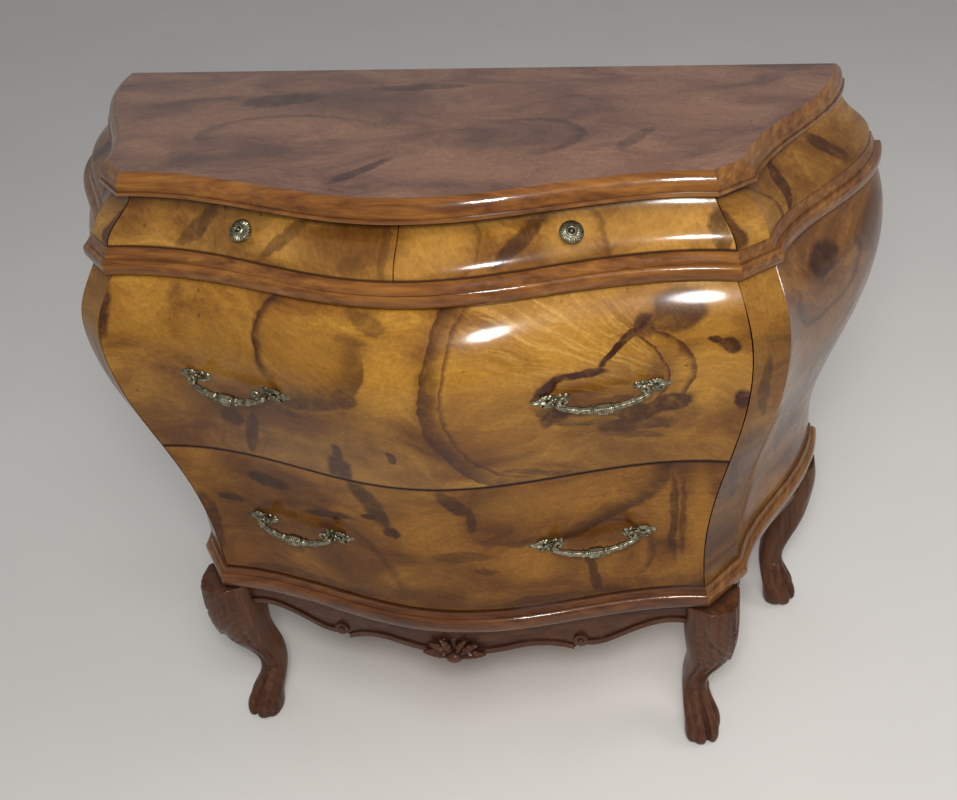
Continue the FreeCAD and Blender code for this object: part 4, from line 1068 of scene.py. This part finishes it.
print("carving the apron")
apronLeaf = {"around": 26, "along": 30, "length": 0.034, "width": 0.0085, "height": 0.0085, "sunk": 0.004,
             "lobes": 4, "lobeDepth": 0.34, "fullness": 0.7, "curl": 0.001, "sweep": 0.002}
spray = {"turns": (0.1, 0.55, 1.0), "sizes": (1.05, 0.95, 0.78), "z": 0.1975, "gap": 0.007,
         "bud": (0.0125, 0.0085, 0.0105)}


def makeApronSpray():
    surface = surfaceOf("front_apron")
    seat = seatFrame(surface, 0.0, spray["z"] + 0.012, 0.030)
    seat.translation = Vector((0.0, frontPoint(surface, 0.0, spray["z"]).y + 0.004, spray["z"]))
    shape = bmesh.new()
    for sign in (-1, 1):
        for turn, size in zip(spray["turns"], spray["sizes"]):
            blade = addLeaf(shape, apronLeaf)
            bmesh.ops.scale(shape, verts=blade, vec=(size, size, 1.0))
            bmesh.ops.translate(shape, verts=blade, vec=(spray["gap"], 0, 0))
            bmesh.ops.rotate(shape, verts=blade, matrix=Matrix.Rotation(turn, 3, "Z"))
            if sign < 0:
                mirrorBlade(shape, blade)
    bud = bmesh.ops.create_uvsphere(shape, u_segments=32, v_segments=20, radius=1.0)["verts"]
    for vert in bud:
        vert.co.z *= 1 + 0.10 * math.cos(9 * math.atan2(vert.co.y, vert.co.x)) * (1 - abs(vert.co.z))
    bmesh.ops.scale(shape, verts=bud, vec=spray["bud"])
    bmesh.ops.transform(shape, matrix=seat, verts=shape.verts)
    finishPiece("apron_spray", shape, woods["apronCarving"], "case", "carved_walnut")


makeApronSpray()

print("setting the stage")
stage = {"floorSize": 14.0, "floorColour": (0.68, 0.65, 0.61), "worldColour": (0.94, 0.96, 1.0),
         "worldStrength": 0.34}


def makeFloor():
    shape = bmesh.new()
    bmesh.ops.create_grid(shape, x_segments=1, y_segments=1, size=stage["floorSize"])
    floor = shapeObject("paleFloor", shape)
    material, tree, shader, place = newMaterial("floorPaint", Roughness=0.6)
    mottle = noise(tree, place, 3.0, 3.0, 0.5)
    low = tuple(0.97 * value for value in stage["floorColour"])
    wire(tree, ramp(tree, mottle.outputs[0], ((0.3, low), (0.7, stage["floorColour"]))),
         shader.inputs["Base Color"])
    floor.data.materials.append(material)


def makeWorld():
    world = bpy.data.worlds.new("studio")
    bpy.context.scene.world = world
    world.use_nodes = True
    background = world.node_tree.nodes["Background"]
    background.inputs["Color"].default_value = (*stage["worldColour"], 1.0)
    background.inputs["Strength"].default_value = stage["worldStrength"]


lamps = {
    "nearLamp": {"place": (0.38, -1.26, 1.62), "target": (0.05, -0.1, 0.5), "size": 0.30, "power": 15.0,
                 "glossy": True},
    "overLamp": {"place": (0.7, -1.6, 2.9), "target": (0.0, 0.0, 0.5), "size": 1.6, "power": 42.0,
                 "glossy": False},
    "rightLamp": {"place": (2.8, 0.4, 2.0), "target": (0.0, 0.0, 0.5), "size": 1.4, "power": 18.0,
                  "glossy": False},
}


def addLamp(name, lamp):
    data = bpy.data.lights.new(name, "AREA")
    data.shape = "DISK"
    data.size = lamp["size"]
    data.energy = lamp["power"]
    light = addObject(name, data)
    light.visible_glossy = lamp["glossy"]  # only the near lamp shows as a highlight in the varnish
    light.location = lamp["place"]
    aim = Vector(lamp["target"]) - Vector(lamp["place"])
    light.rotation_euler = aim.to_track_quat("-Z", "Y").to_euler()


view = {"place": (0.3796, -1.1951, 1.3784), "turn": 0.141837, "tilt": 0.524166, "roll": -0.0633245,
        "lens": 42.11, "shift": (-0.1357, -0.1425)}


def makeCamera():
    data = bpy.data.cameras.new("studyCamera")
    data.sensor_width = 36.0
    data.lens = view["lens"]
    data.shift_x, data.shift_y = view["shift"]
    data.clip_start = 0.05
    camera = addObject("studyCamera", data)
    turn = Matrix.Rotation(view["turn"], 3, "Z")
    tilt = Matrix.Rotation(math.pi / 2 - view["tilt"], 3, "X")
    roll = Matrix.Rotation(view["roll"], 3, "Z")
    camera.matrix_world = Matrix.Translation(view["place"]) @ (turn @ tilt @ roll).to_4x4()
    bpy.context.scene.camera = camera


makeFloor()
makeWorld()
for name, lamp in lamps.items():
    addLamp(name, lamp)
makeCamera()
bpy.context.scene.view_settings.view_transform = "Standard"
